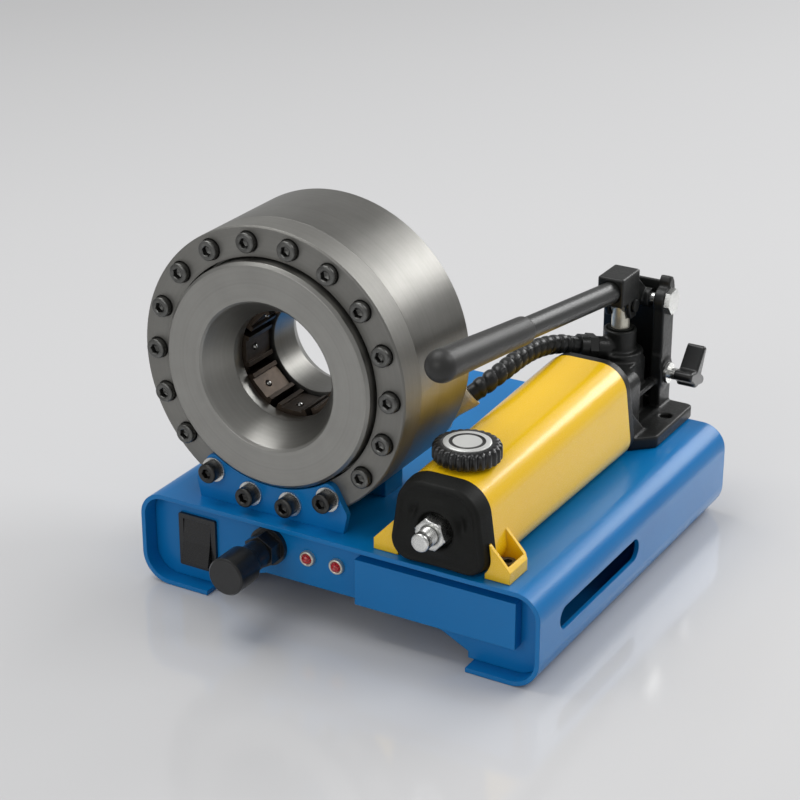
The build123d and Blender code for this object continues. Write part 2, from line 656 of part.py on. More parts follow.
def head_housing():
    """Cup-shaped cylinder with a hub that carries the rear hose bore."""
    wall = HEAD_BACK - REAR_WALL
    points = [(HOUSING_BORE_R, RING_BACK), (HEAD_R, RING_BACK), (HEAD_R, HEAD_BACK - HOUSING_EDGE),
              (HEAD_R - HOUSING_EDGE, HEAD_BACK), (HOSE_BORE_FLARE_R, HEAD_BACK),
              (HOSE_BORE_R, HEAD_BACK - FLARE_LENGTH), (HOSE_BORE_R, HUB_FRONT_DEPTH),
              (HUB_R, HUB_FRONT_DEPTH), (HUB_R, wall), (HOUSING_BORE_R, wall)]
    housing = turned(points, HEAD_X, HEAD_Z)
    port = port_centre()
    housing -= cyl_y(port.X, port.Z, PORT_SPIGOT_R + RUNNING, HEAD_BACK - PORT_SPIGOT, 2 * PORT_SPIGOT)
    return housing - screw_holes(M8_R + SCREW_CLEAR, RING_BACK, SCREW_ENGAGE + M8_R / 4)


def front_ring():
    """Thick ring that clamps the centre disc, with counterbored screw holes."""
    inner = DISC_R + DISC_GROOVE
    seat = RING_BACK - DISC_FLANGE_T
    points = [(inner, RING_DEPTH), (HEAD_R - RING_EDGE, RING_DEPTH), (HEAD_R, RING_DEPTH + RING_EDGE),
              (HEAD_R, RING_BACK), (HOUSING_BORE_R, RING_BACK), (HOUSING_BORE_R, seat), (inner, seat)]
    ring = turned(points, HEAD_X, HEAD_Z)
    ring -= screw_holes(M8_R + SCREW_CLEAR, 0, 2 * RING_BACK)
    bores = Sketch()
    for index in range(SCREW_COUNT):
        if index not in BRACKET_SCREWS:
            x, z = on_circle(index, SCREW_COUNT, SCREW_PCR)
            bores += Pos(x, z) * Circle(M8_HEAD_R + COUNTERBORE_CLEAR)
    return ring - along_y(bores, 0, RING_DEPTH + M8_HEAD_H - SCREW_HEAD_PROUD)


def front_disc():
    """Centre disc with the funnel mouth and throat, and the thrust face for the dies."""
    face = RING_DEPTH - DISC_PROUD
    seat = RING_BACK - DISC_FLANGE_T
    flange_r = HOUSING_BORE_R - SPIGOT_CLEAR
    thrust = DIE_FRONT_DEPTH - DIE_END_GAP
    points = [(FUNNEL_R, face), (DISC_R - DISC_EDGE, face), (DISC_R, face + DISC_EDGE), (DISC_R, seat),
              (flange_r, seat), (flange_r, RING_BACK), (DISC_HUB_R, RING_BACK), (DISC_HUB_R, thrust),
              (THROAT_R, thrust), (THROAT_R, THROAT_DEPTH), (FUNNEL_R - FUNNEL_LIP, face + FUNNEL_LIP)]
    return turned(points, HEAD_X, HEAD_Z)


def socket_screw(x, z, head_depth, length):
    """M8 socket-head screw along Y whose head face is at head_depth."""
    screw = cyl_y(x, z, M8_HEAD_R, head_depth, M8_HEAD_H)
    screw -= along_y(Pos(x, z) * hexagon(M8_SOCKET_AF), head_depth, M8_SOCKET_DEPTH)
    return screw + cyl_y(x, z, M8_R, head_depth + M8_HEAD_H, length)


def cover_screws():
    """Screws that clamp the ring to the housing, in their counterbores."""
    head = RING_DEPTH - SCREW_HEAD_PROUD
    length = RING_BACK + SCREW_ENGAGE - head - M8_HEAD_H
    places = [on_circle(i, SCREW_COUNT, SCREW_PCR) for i in range(SCREW_COUNT) if i not in BRACKET_SCREWS]
    return [socket_screw(x, z, head, length) for x, z in places]


def bracket_screws():
    """Screws that also clamp the bracket plate, with whole heads standing out."""
    head = RING_DEPTH - BRACKET_T - WASHER_T - M8_HEAD_H
    length = RING_BACK + SCREW_ENGAGE - head - M8_HEAD_H
    return [socket_screw(*on_circle(i, SCREW_COUNT, SCREW_PCR), head, length) for i in BRACKET_SCREWS]


def bracket_washers():
    """Plain washers under the bracket screws."""
    washers = []
    for index in BRACKET_SCREWS:
        x, z = on_circle(index, SCREW_COUNT, SCREW_PCR)
        ring = Pos(x, z) * (Circle(WASHER_R) - Circle(M8_R + SCREW_CLEAR))
        washers.append(along_y(ring, RING_DEPTH - BRACKET_T - WASHER_T, WASHER_T))
    return washers


def head_bracket():
    """Upright plate welded to the base, hollowed to the disc, that holds the ring."""
    groove_r = DISC_R + DISC_GROOVE
    wide = HEAD_Z - BRACKET_WIDE_Z
    horns = HEAD_Z - groove_r * BRACKET_TOP_SHARE
    outline = make_face(Polyline(
        (HEAD_X - BRACKET_HALF_FOOT, PLATE_Z), (HEAD_X - BRACKET_HALF_WIDE, wide),
        (HEAD_X - BRACKET_HALF_TOP, horns), (HEAD_X + BRACKET_HALF_TOP, horns),
        (HEAD_X + BRACKET_HALF_WIDE, wide), (HEAD_X + BRACKET_HALF_FOOT, PLATE_Z), close=True))
    sides = outline.vertices().sort_by(Axis.Y)[2:]
    outline = fillet(sides, BRACKET_CORNER_R)
    plate = along_y(outline, RING_DEPTH - BRACKET_T, BRACKET_T)
    plate -= cyl_y(HEAD_X, HEAD_Z, groove_r, 0, 2 * RING_DEPTH)
    return plate - screw_holes(M8_R + SCREW_CLEAR, 0, 2 * RING_DEPTH)


def saddle_blocks():
    """Two welded blocks that cradle the back of the cylinder."""
    blocks = []
    barrel = cyl_y(HEAD_X, HEAD_Z, HEAD_R + SADDLE_GAP, SADDLE_DEPTH, SADDLE_LENGTH)
    rise = HEAD_R - sqrt(HEAD_R ** 2 - SADDLE_OUTER ** 2)
    for side in (-1, 1):
        x0, x1 = sorted((HEAD_X + side * SADDLE_INNER, HEAD_X + side * SADDLE_OUTER))
        solid = block(x0, x1, y_at(SADDLE_DEPTH), y_at(SADDLE_DEPTH + SADDLE_LENGTH), PLATE_Z, PLATE_Z + rise)
        blocks.append(solid - barrel)
    return blocks


def wedge_face(depth, clearance=0.0):
    """Distance from the head axis to the wedge facets at a depth, with the dies open."""
    return DIE_BACK_R - (depth - DIE_FRONT_DEPTH) * WEDGE + clearance / cos(radians(WEDGE_DEG))


def master_die(index):
    """One die segment with its retaining pin and the guide pin to its neighbour."""
    half = radians(FACET / 2)
    gap = DIE_TRAVEL * sin(half) + DIE_SIDE_CLEAR    # flank to the plane between two dies
    outer, inner = 1.05 * DIE_BACK_R, DIE_OPEN_R / 2

    def flank(radius):
        return radius * tan(half) - gap / cos(half)

    section = make_face(Polyline((inner, -flank(inner)), (outer, -flank(outer)), (outer, flank(outer)),
                                 (inner, flank(inner)), close=True))
    section -= Circle(DIE_OPEN_R)
    section -= Pos(DIE_OPEN_R, 0) * Rectangle(2 * DIE_RIDGE_H, 2 * (flank(DIE_OPEN_R) - DIE_RIDGE))
    die = along_y(section, DIE_FRONT_DEPTH, DIE_LENGTH)
    front, back = y_at(DIE_FRONT_DEPTH), y_at(DIE_BACK)
    profile = make_face(Polyline((0, front), (wedge_face(DIE_FRONT_DEPTH), front),
                                 (wedge_face(DIE_BACK), back), (0, back), close=True))
    die &= Pos(0, 0, -outer) * extrude(profile, amount=2 * outer)

    pin_y = front + DIE_PIN_PLACE
    floor = DIE_OPEN_R + DIE_RIDGE_H
    die -= cyl_x(pin_y, 0, DIE_PIN_HOLE_R, inner, floor + DIE_RIDGE)
    pin = cyl_x(pin_y, 0, DIE_PIN_R, floor - DIE_PIN_PROUD, floor + DIE_RIDGE)

    guide_y = (front + back) / 2
    upper, lower = Rot(0, -FACET / 2, 0), Rot(0, FACET / 2, 0)
    guide = upper * cyl_z(GUIDE_PIN_RADIUS, guide_y, GUIDE_PIN_R, -gap - GUIDE_PIN_SEAT,
                          gap + GUIDE_PIN_REACH)
    depth = gap + GUIDE_PIN_REACH + 2 * DIE_TRAVEL * sin(half) + GUIDE_PIN_END
    die -= guide
    die -= lower * cyl_z(GUIDE_PIN_RADIUS, guide_y, GUIDE_PIN_R + GUIDE_PIN_CLEAR, 0, depth)
    place = Pos(HEAD_X, 0, HEAD_Z) * Rot(0, -FACET * index, 0)
    return [place * die, place * pin, place * guide]


def annular_piston():
    """Ring piston on the hub; its faceted mouth wedges the dies inwards."""
    outer = HOUSING_BORE_R - PISTON_CLEAR
    bore = HUB_R + PISTON_CLEAR
    points = [(bore, PISTON_FRONT), (outer, PISTON_FRONT), (outer, PISTON_BACK), (bore, PISTON_BACK)]
    piston = turned(points, HEAD_X, HEAD_Z)
    web = PISTON_BACK - PISTON_WEB

    def facets(depth):
        plane = Plane(origin=(HEAD_X, y_at(depth), HEAD_Z), x_dir=(1, 0, 0), z_dir=(0, -1, 0))
        return plane * RegularPolygon(wedge_face(depth, WEDGE_CLEAR), DIE_COUNT, major_radius=False,
                                      rotation=FACET / 2)

    piston -= loft([facets(PISTON_FRONT), facets(web)])
    groove = PISTON_BACK - PISTON_WEB / 2 - SEAL_WIDTH / 2
    piston -= seal(outer - SEAL_DEPTH, HEAD_R, groove)
    return piston - seal(bore / 2, bore + SEAL_DEPTH, groove)


def seal(inner, outer, depth):
    """Square-section ring about the head axis."""
    points = [(inner, depth), (outer, depth), (outer, depth + SEAL_WIDTH), (inner, depth + SEAL_WIDTH)]
    return turned(points, HEAD_X, HEAD_Z)


def build_head():
    """File the nodes of the crimping head."""
    groove = PISTON_BACK - PISTON_WEB / 2 - SEAL_WIDTH / 2
    outer, bore = HOUSING_BORE_R - PISTON_CLEAR, HUB_R + PISTON_CLEAR
    keep("head_housing", head_housing())
    keep("front_ring", front_ring())
    keep("front_disc", front_disc())
    keep("cover_screws", *cover_screws())
    keep("bracket_screws", *bracket_screws())
    keep("bracket_washers", *bracket_washers())
    keep("head_bracket", head_bracket())
    keep("saddle_blocks", *saddle_blocks())
    keep("annular_piston", annular_piston())
    keep("piston_outer_seal", seal(outer - SEAL_DEPTH, outer, groove))
    keep("piston_inner_seal", seal(bore, bore + SEAL_DEPTH, groove))
    for index in range(DIE_COUNT):
        keep(f"master_die_{index + 1}", *master_die(index))


# ---- pump reservoir -------------------------------------------------------------------------------

def pump_section(depth, height, grow=0.0, inset=0.0):
    """Rounded trapezoid of the pump body as a face across the pump axis."""
    low, top = BODY_HALF_LOW + grow - inset, BODY_HALF_TOP + grow - inset
    corners = [(-low, inset), (low, inset), (top, height - inset), (-top, height - inset)]
    face = make_face(Polyline(*corners, close=True))
    face = fillet(face.vertices().sort_by(Axis.Y)[:2], BODY_LOW_R - min(inset, BODY_LOW_R / 2))
    face = fillet(face.vertices().sort_by(Axis.Y)[-2:], BODY_TOP_R - inset)
    return Plane(origin=(PUMP_X, y_at(depth), PUMP_Z), x_dir=(1, 0, 0), z_dir=(0, -1, 0)) * face


def body_loft(start, end, inset):
    """Pump body form between two depths, growing to the rear, drawn in by inset."""
    faces = []
    for depth in (start, end):
        share = (depth - BODY_DEPTH) / BODY_LENGTH
        height = BODY_TOP_FRONT + share * (BODY_TOP_REAR - BODY_TOP_FRONT)
        faces.append(pump_section(depth, height, share * BODY_GROW, inset))
    return loft(faces)


def body_top(depth):
    """Height of the top of the pump body at a depth."""
    share = (depth - BODY_DEPTH) / BODY_LENGTH
    return PUMP_Z + BODY_TOP_FRONT + share * (BODY_TOP_REAR - BODY_TOP_FRONT)


def lug(side):
    """Holding lug: two triangular ribs, a floor and a tip wall round a pocket."""
    inner = BODY_HALF_LOW - LUG_ROOT
    profile = make_face(Polyline((inner, 0), (LUG_HALF, 0), (LUG_HALF, LUG_HEIGHT), (inner, LUG_RIB_TOP),
                                 close=True))
    plane = Plane(origin=(PUMP_X, y_at(LUG_DEPTH), PUMP_Z), x_dir=(side, 0, 0), z_dir=(0, -side, 0))
    solid = extrude(plane * profile, amount=-side * LUG_LENGTH)
    corner = PUMP_X + side * LUG_HALF
    x0, x1 = sorted((PUMP_X + side * inner, corner - side * LUG_RIB_T))
    solid -= block(x0, x1, y_at(LUG_DEPTH + LUG_RIB_T), y_at(LUG_DEPTH + LUG_LENGTH - LUG_RIB_T),
                   PUMP_Z + LUG_RIB_T, PUMP_Z + 2 * LUG_RIB_TOP)
    rear_edges = solid.edges().filter_by(Axis.Z).group_by(Axis.Y)[-1]
    tip = rear_edges.sort_by(Axis.X)[-1 if side > 0 else 0]
    solid = chamfer(tip, LUG_RIB_T)
    return solid - cyl_z(PUMP_X + side * LUG_HOLE_X, lug_screw_y(), M6_R + SCREW_CLEAR, 0, 2 * PUMP_Z)


def lug_screw_y():
    """Y of the screws in the lugs."""
    return y_at(LUG_DEPTH + LUG_LENGTH / 2)


def pump_reservoir():
    """Yellow reservoir: hollow tapered body, filler neck and lugs."""
    body = body_loft(BODY_DEPTH, BODY_BACK, 0)
    for side in (-1, 1):
        body += lug(side) - body_loft(LUG_DEPTH, BODY_DEPTH, -BOOT_LIP - BOOT_CLEAR)
    cap_y = y_at(CAP_DEPTH)
    body += cyl_z(PUMP_X, cap_y, CAP_NECK_R, body_top(CAP_DEPTH) - BODY_WALL, body_top(CAP_DEPTH) + CAP_GAP)
    body -= body_loft(BODY_DEPTH + BODY_WALL, BODY_BACK - BODY_WALL, BODY_WALL)
    body -= cyl_z(PUMP_X, cap_y, CAP_NECK_R / 2 + RUNNING, body_top(CAP_DEPTH) - 2 * BODY_WALL, 2 * HEAD_Z)
    return body - tie_hole(BODY_BACK)


def oil_bladder():
    """Rubber oil bladder inside the reservoir, round the tie rod."""
    inset = BODY_WALL + BLADDER_GAP
    form = body_loft(BODY_DEPTH + inset, BODY_BACK - inset, inset)
    form -= cyl_z(PUMP_X, y_at(CAP_DEPTH), CAP_NECK_R / 2 + 2 * BLADDER_GAP,
                  PUMP_Z + BODY_TOP_FRONT / 2 + TIE_R, 2 * HEAD_Z)
    return form - cyl_y(PUMP_X, PUMP_Z + TIE_Z, TIE_R + BLADDER_GAP, 0, BODY_BACK)


def tie_hole(back):
    """Clearance hole for the tie rod, up to a depth."""
    return cyl_y(PUMP_X, PUMP_Z + TIE_Z, TIE_R + SCREW_CLEAR, TIE_END_DEPTH, back - TIE_END_DEPTH)


def end_boot():
    """Rubber boot on the front of the reservoir, dished round the tie nut."""
    front = pump_section(BOOT_DEPTH, BODY_TOP_FRONT, 0, -BOOT_LIP)
    boot = extrude(front, amount=-(BODY_DEPTH - BOOT_DEPTH))
    edge = boot.faces().sort_by(Axis.Y)[0].edges()
    boot = fillet(edge, BOOT_EDGE)
    boot &= block(-BASE_WIDTH, BASE_WIDTH, -BASE_DEPTH, BASE_DEPTH, PUMP_Z - PUMP_FLOOR / 2, 2 * HEAD_Z)
    boot -= cyl_y(PUMP_X, PUMP_Z + TIE_Z, BOOT_SEAT_R, BOOT_DEPTH, BOOT_SEAT)
    return boot - tie_hole(BODY_DEPTH)


def tie_rod():
    """Rod that ties the boot, the reservoir and the pump head together."""
    back = BODY_BACK + FLANGE_T - TIE_BACK_CLEAR
    points = [(0, TIE_END_DEPTH), (TIE_R - TIE_END_EDGE, TIE_END_DEPTH),
              (TIE_R, TIE_END_DEPTH + TIE_END_EDGE), (TIE_R, back), (0, back)]
    return turned(points, PUMP_X, PUMP_Z + TIE_Z)


def tie_nut():
    """Hex nut on the tie rod, chamfered on its front."""
    back = BOOT_DEPTH + BOOT_SEAT
    front = back - NUT_T
    nut = along_y(Pos(PUMP_X, PUMP_Z + TIE_Z) * hexagon(NUT_AF, FLAT_ON_TOP), front, NUT_T)
    face_r = NUT_AF / 2 - NUT_EDGE
    cone = turned([(0, front), (face_r, front), (face_r + NUT_CONE, front + NUT_CONE_DEPTH),
                   (face_r + NUT_CONE, back), (0, back)], PUMP_X, PUMP_Z + TIE_Z)
    return (nut & cone) - cyl_y(PUMP_X, PUMP_Z + TIE_Z, TIE_R, front, NUT_T)


def filler_cap():
    """Ribbed filler cap with a plug in the filler neck and a seat for its disc."""
    base = body_top(CAP_DEPTH) + CAP_GAP + WELD_GAP
    cap_y = y_at(CAP_DEPTH)
    cap = cyl_z(PUMP_X, cap_y, CAP_R, base, base + CAP_H)
    cap = fillet(cap.edges().group_by(Axis.Z)[-1], CAP_EDGE)
    notches = Sketch()
    for index in range(CAP_RIBS):
        turn = radians(360.0 * index / CAP_RIBS)
        x, y = (CAP_R + CAP_RIB_OUT) * cos(turn), (CAP_R + CAP_RIB_OUT) * sin(turn)
        notches += Pos(PUMP_X + x, cap_y + y) * Circle(CAP_RIB_R)
    cap -= Pos(0, 0, base) * extrude(notches, amount=CAP_H)
    cap -= cyl_z(PUMP_X, cap_y, CAP_DISC_R, base + CAP_H - CAP_DISC_T / 2, base + 2 * CAP_H)
    return cap + cyl_z(PUMP_X, cap_y, CAP_NECK_R / 2, base - BODY_WALL - CAP_GAP, base)


def filler_cap_disc():
    """Bright disc let into the cap, with a ring groove."""
    top = body_top(CAP_DEPTH) + CAP_GAP + WELD_GAP + CAP_H + CAP_DISC_T / 2
    cap_y = y_at(CAP_DEPTH)
    disc = cyl_z(PUMP_X, cap_y, CAP_DISC_R - SPIGOT_CLEAR, top - CAP_DISC_T, top)
    groove = Circle(CAP_DISC_GROOVE_R) - Circle(CAP_DISC_GROOVE_R - CAP_DISC_GROOVE)
    return disc - Pos(PUMP_X, cap_y, top - CAP_DISC_T / 2) * extrude(groove, amount=CAP_DISC_T)


def upright_screw(x, y, seat, radius, head_r, head_h, socket_af):
    """Socket-head screw along Z with its head on a seat and its shank through the top plate."""
    screw = cyl_z(x, y, head_r, seat, seat + head_h)
    screw -= Pos(x, y, seat + head_h / 2) * extrude(hexagon(socket_af), amount=head_h)
    return screw + cyl_z(x, y, radius, PLATE_Z - SHEET - SCREW_BELOW, seat)


def foot_screw(x):
    """Socket-head screw from below through the top plate into the foot of the pump head."""
    y, seat = y_at(FOOT_HOLE_DEPTH), PLATE_Z - SHEET
    screw = cyl_z(x, y, M8_HEAD_R, seat - M8_HEAD_H, seat)
    screw += cyl_z(x, y, M8_R, seat, PUMP_Z + FOOT_T - FOOT_THREAD_GAP)
    return screw - Pos(x, y, seat - M8_HEAD_H) * extrude(hexagon(M8_SOCKET_AF), amount=M8_SOCKET_DEPTH)


# ---- pump head --------------------------------------------------------------------------------------

def yz_plane(x, depth, z):
    """Plane across X at a depth and a height above the pump floor."""
    return Plane(origin=(PUMP_X + x, y_at(depth), PUMP_Z + z), x_dir=(0, 1, 0), z_dir=(1, 0, 0))


def slab(points, x0, x1):
    """Plate across X from a side outline; points are (distance behind the gland axis, height)."""
    outline = make_face(Polyline(*points, close=True))
    return extrude(yz_plane(x0, GLAND_DEPTH, 0) * outline, amount=x1 - x0)


def bore_x(depth, z, radius, x0, x1):
    """Cylinder along X placed by depth and height above the pump floor."""
    return cyl_x(y_at(depth), PUMP_Z + z, radius, PUMP_X + x0, PUMP_X + x1)


def ear_outline(horn):
    """Side outline of an ear: upright bar with, on the right, a horn behind the bolt boss."""
    front = [(EAR_FRONT, 0), (EAR_FRONT, EAR_BOLT_Z), (EAR_HORN_FRONT, EAR_BOLT_Z)]
    back = [(EAR_BACK, WEB_TOP - EAR_BACK_CORNER), (EAR_BACK, 0)]
    if not horn:
        return front + [(WEB_FRONT, WEB_TOP - WEB_CORNER)] + back
    run, drop = EAR_HORN_CORNER
    crown_run, crown_drop = EAR_HORN_CROWN
    return front + [(EAR_HORN_FRONT, EAR_HORN_TOP - drop), (EAR_HORN_FRONT + run, EAR_HORN_TOP),
                    (EAR_HORN_FRONT + crown_run, EAR_HORN_TOP - crown_drop),
                    (EAR_BACK - EAR_HORN_HEEL, WEB_TOP)] + back


def head_foot():
    """Foot of the pump head, chamfered at the front."""
    foot = block(PUMP_X - FOOT_HALF, PUMP_X + FOOT_HALF, y_at(BODY_BACK + FOOT_FRONT),
                 y_at(GLAND_DEPTH + FOOT_BACK), PUMP_Z, PUMP_Z + FOOT_T)
    foot = chamfer(foot.edges().filter_by(Axis.Z).group_by(Axis.Y)[0], FOOT_CHAMFER)
    return fillet(foot.edges().filter_by(Axis.Z).group_by(Axis.Y)[-1], FOOT_CORNER_R)


def valve_body():
    """Block behind the flange that holds the valves."""
    body = block(PUMP_X - VALVE_BODY_HALF, PUMP_X + VALVE_BODY_HALF, y_at(BODY_BACK + FLANGE_T / 2),
                 y_at(GLAND_DEPTH + VALVE_BODY_BACK), PUMP_Z, PUMP_Z + VALVE_BODY_TOP)
    return fillet(body.edges().filter_by(Axis.Y).group_by(Axis.Z)[-1], VALVE_BODY_R)


def head_bores():
    """All that is bored into the pump head, as one cutting body."""
    y = y_at(GLAND_DEPTH)
    mouth = PUMP_Z + GLAND_TOP - GLAND_MOUTH
    well = PUMP_Z + GLAND_TOP - PLUNGER_REST - PLUNGER_WELL
    bores = cyl_z(PUMP_X, y, PLUNGER_R + RUNNING, well, mouth)
    bores += cyl_z(PUMP_X, y, GLAND_MOUTH_R, mouth, 2 * HEAD_Z)
    bores += bore_x(RELEASE_DEPTH, RELEASE_Z, RELEASE_STEM_R + RUNNING, RELEASE_BOSS_X - RELEASE_STEM_HOLE,
                    2 * RELEASE_BOSS_X)
    bores += bore_x(EAR_BOLT_DEPTH, EAR_BOLT_Z, EAR_BOLT_R + RUNNING, 2 * LEFT_EAR_OUTER, 2 * EAR_OUTER)
    bores += tie_hole(BODY_BACK + FLANGE_T - TIE_BACK_CLEAR)
    for side in (-1, 1):
        bores += cyl_z(PUMP_X + side * FOOT_HOLE_X, y_at(FOOT_HOLE_DEPTH), M8_R + SCREW_CLEAR, 0, 2 * PUMP_Z)
    return bores


def pump_head():
    """Cast head: flange, valve body, gland boss, foot and two ears joined by a rear wall."""
    head = extrude(pump_section(BODY_BACK, BODY_TOP_REAR, BODY_GROW, BOOT_LIP), amount=-FLANGE_T)
    head += valve_body() + head_foot() + outlet_boss()
    y = y_at(GLAND_DEPTH)
    head += cyl_z(PUMP_X, y, GLAND_R, PUMP_Z, PUMP_Z + GLAND_TOP)
    head += cyl_z(PUMP_X, y, GLAND_R + GLAND_COLLAR, PUMP_Z, PUMP_Z + GLAND_COLLAR_TOP)
    rib = [(0, 0), (0, VALVE_BODY_TOP - VALVE_BODY_R), (EAR_FRONT + WEB_SLOPE, VALVE_BODY_TOP),
           (EAR_FRONT + WEB_SLOPE, 0)]
    for x0, x1 in ((LEFT_EAR_OUTER, LEFT_EAR_INNER), (EAR_INNER, EAR_OUTER)):
        head += slab(ear_outline(x0 > 0), x0, x1) + slab(rib, x0, x1)
        head += bore_x(EAR_BOLT_DEPTH, EAR_BOLT_Z, EAR_BOSS_R, x0, x1)
    web = [(WEB_FRONT, 0), (WEB_FRONT, WEB_TOP), (EAR_BACK, WEB_TOP - WEB_SLOPE), (EAR_BACK, 0)]
    head += slab(web, LEFT_EAR_OUTER, EAR_INNER)
    head += bore_x(RELEASE_DEPTH, RELEASE_Z, RELEASE_BOSS_R, EAR_INNER, RELEASE_BOSS_X)
    return head - head_bores()


def outlet_frame():
    """Plane on the seat of the swivel nut at the pump outlet, looking down the hose."""
    points = route_points()
    run = (points[1] - points[0]).normalized()
    return Plane(origin=points[0] - run * (FERRULE_LENGTH + SWIVEL_HEX_T), z_dir=run)


def outlet_boss():
    """Boss from the gland collar to the swivel nut."""
    reach = PLUNGER_R + GLAND_COLLAR
    return extrude(outlet_frame().offset(-reach) * Circle(OUTLET_R), amount=reach)


def gland_ring():
    """Wiper ring in the mouth of the gland."""
    ring = Circle(GLAND_MOUTH_R - SPIGOT_CLEAR) - Circle(PLUNGER_R + RUNNING)
    place = Pos(PUMP_X, y_at(GLAND_DEPTH), PUMP_Z + GLAND_TOP - GLAND_MOUTH)
    return place * extrude(ring, amount=GLAND_MOUTH + GLAND_RING_PROUD)


def plunger():
    """Round plunger with a flat eye for its pin."""
    y = y_at(GLAND_DEPTH)
    top = PUMP_Z + PLUNGER_PIN_Z
    low = PUMP_Z + GLAND_TOP - PLUNGER_REST
    neck = top - PLUNGER_R - PLUNGER_NECK
    shaft = cyl_z(PUMP_X, y, PLUNGER_R, low, neck)
    flat = cyl_z(PUMP_X, y, PLUNGER_R, neck, top)
    flat &= slab([(-PLUNGER_R, 0), (-PLUNGER_R, PLUNGER_PIN_Z), (PLUNGER_R, PLUNGER_PIN_Z), (PLUNGER_R, 0)],
                 -PLUNGER_EYE_HALF, PLUNGER_EYE_HALF)
    eye = bore_x(GLAND_DEPTH, PLUNGER_PIN_Z, PLUNGER_R, -PLUNGER_EYE_HALF, PLUNGER_EYE_HALF)
    return shaft + flat + eye - bore_x(GLAND_DEPTH, PLUNGER_PIN_Z, PLUNGER_PIN_R, -BLOCK_HALF, BLOCK_HALF)


def plunger_pin():
    """Pin with two heads through the plunger eye and the slots of the beam."""
    half = BLOCK_HALF + PIN_HEAD_GAP
    pin = bore_x(GLAND_DEPTH, PLUNGER_PIN_Z, PLUNGER_PIN_R, -half, half)
    for x0, x1 in ((-half - PIN_HEAD_T, -half), (half, half + PIN_HEAD_T)):
        pin += bore_x(GLAND_DEPTH, PLUNGER_PIN_Z, PIN_HEAD_R, x0, x1)
    return pin


def ear_bolt():
    """Hex bolt through the right ear and the beam into the left ear, the pivot of the beam."""
    bolt = bore_x(EAR_BOLT_DEPTH, EAR_BOLT_Z, EAR_BOLT_R, LEFT_EAR_OUTER + BOLT_END_GAP, EAR_OUTER)
    head = yz_plane(EAR_OUTER, EAR_BOLT_DEPTH, EAR_BOLT_Z) * hexagon(BOLT_AF, BOLT_TURN)
    return bolt + extrude(head, amount=BOLT_HEAD_T)


def lever_frame():
    """Plane at the lever's start, square to its axis, that looks up the lever."""
    rise = radians(LEVER_DEG)
    y, z = y_at(GLAND_DEPTH - BLOCK_FRONT), PUMP_Z + (BLOCK_Z0 + BLOCK_Z1) / 2
    origin = (PUMP_X, y + LEVER_START * cos(rise), z - LEVER_START * sin(rise))
    return Plane(origin=origin, x_dir=(1, 0, 0), z_dir=(0, -cos(rise), sin(rise)))


def lever_block():
    """Beam: square block with the lever socket, slotted cheeks for the plunger pin and an eye at the back."""
    solid = block(PUMP_X - BLOCK_HALF, PUMP_X + BLOCK_HALF, y_at(GLAND_DEPTH - BLOCK_FRONT),
                  y_at(GLAND_DEPTH + BLOCK_BACK), PUMP_Z + BLOCK_Z0, PUMP_Z + BLOCK_Z1)
    solid = fillet(solid.edges(), BLOCK_EDGE)
    root = BLOCK_Z0 + BEAM_ROOT
    cheek = [(-CLEVIS_REACH, root), (-CLEVIS_REACH, PLUNGER_PIN_Z), (-CLEVIS_REACH / 2, CLEVIS_Z0),
             (CLEVIS_REACH / 2, CLEVIS_Z0), (CLEVIS_REACH, PLUNGER_PIN_Z), (CLEVIS_REACH, root)]
    solid += slab(cheek, -BLOCK_HALF, BLOCK_HALF)
    start = BLOCK_BACK - 2 * BEAM_ROOT
    tang = [(start, BLOCK_Z1 - 2 * BLOCK_EDGE), (EAR_BOLT_BACK, EAR_BOLT_Z + BEAM_EYE_R),
            (EAR_BOLT_BACK, EAR_BOLT_Z - BEAM_EYE_R), (start, root)]
    solid += slab(tang, -BEAM_TANG_HALF, BEAM_TANG_HALF)
    solid += bore_x(EAR_BOLT_DEPTH, EAR_BOLT_Z, BEAM_EYE_R, BEAM_EYE_LEFT, BEAM_EYE_RIGHT)
    inner = PLUNGER_EYE_HALF + PLUNGER_EYE_GAP
    roof = PLUNGER_PIN_Z + PLUNGER_R + PLUNGER_EYE_GAP
    fore = CLEVIS_REACH + PIN_SLOT_CLEAR
    solid -= slab([(-fore, 0), (-fore, roof), (fore, roof), (fore, 0)], -inner, inner)
    across = 2 * (PLUNGER_PIN_R + PIN_SLOT_CLEAR)
    slot = yz_plane(-BLOCK_HALF, GLAND_DEPTH - PIN_SLOT / 2, PLUNGER_PIN_Z)
    solid -= extrude(slot * SlotOverall(across + PIN_SLOT, across), amount=2 * BLOCK_HALF)
    solid -= bore_x(EAR_BOLT_DEPTH, EAR_BOLT_Z, EAR_BOLT_R + RUNNING, -EAR_OUTER, EAR_OUTER)
    return solid - extrude(lever_frame() * Circle(LEVER_R), amount=LEVER_START + BLOCK_HALF)


def lever_profile(points):
    """Solid of revolution about the lever axis; points are (radius, distance from the lever's start)."""
    face = make_face(Polyline(*points, close=True))
    frame = lever_frame()
    upright = Plane(origin=frame.origin, x_dir=frame.x_dir, z_dir=frame.z_dir.cross(frame.x_dir) * -1)
    return revolve(upright * face, axis=Axis(frame.origin, frame.z_dir))


def lever_tube():
    """Lever tube from the block to inside the grip."""
    return extrude(lever_frame() * Circle(LEVER_R), amount=LEVER_START + LEVER_LENGTH - GRIP_SOLID)


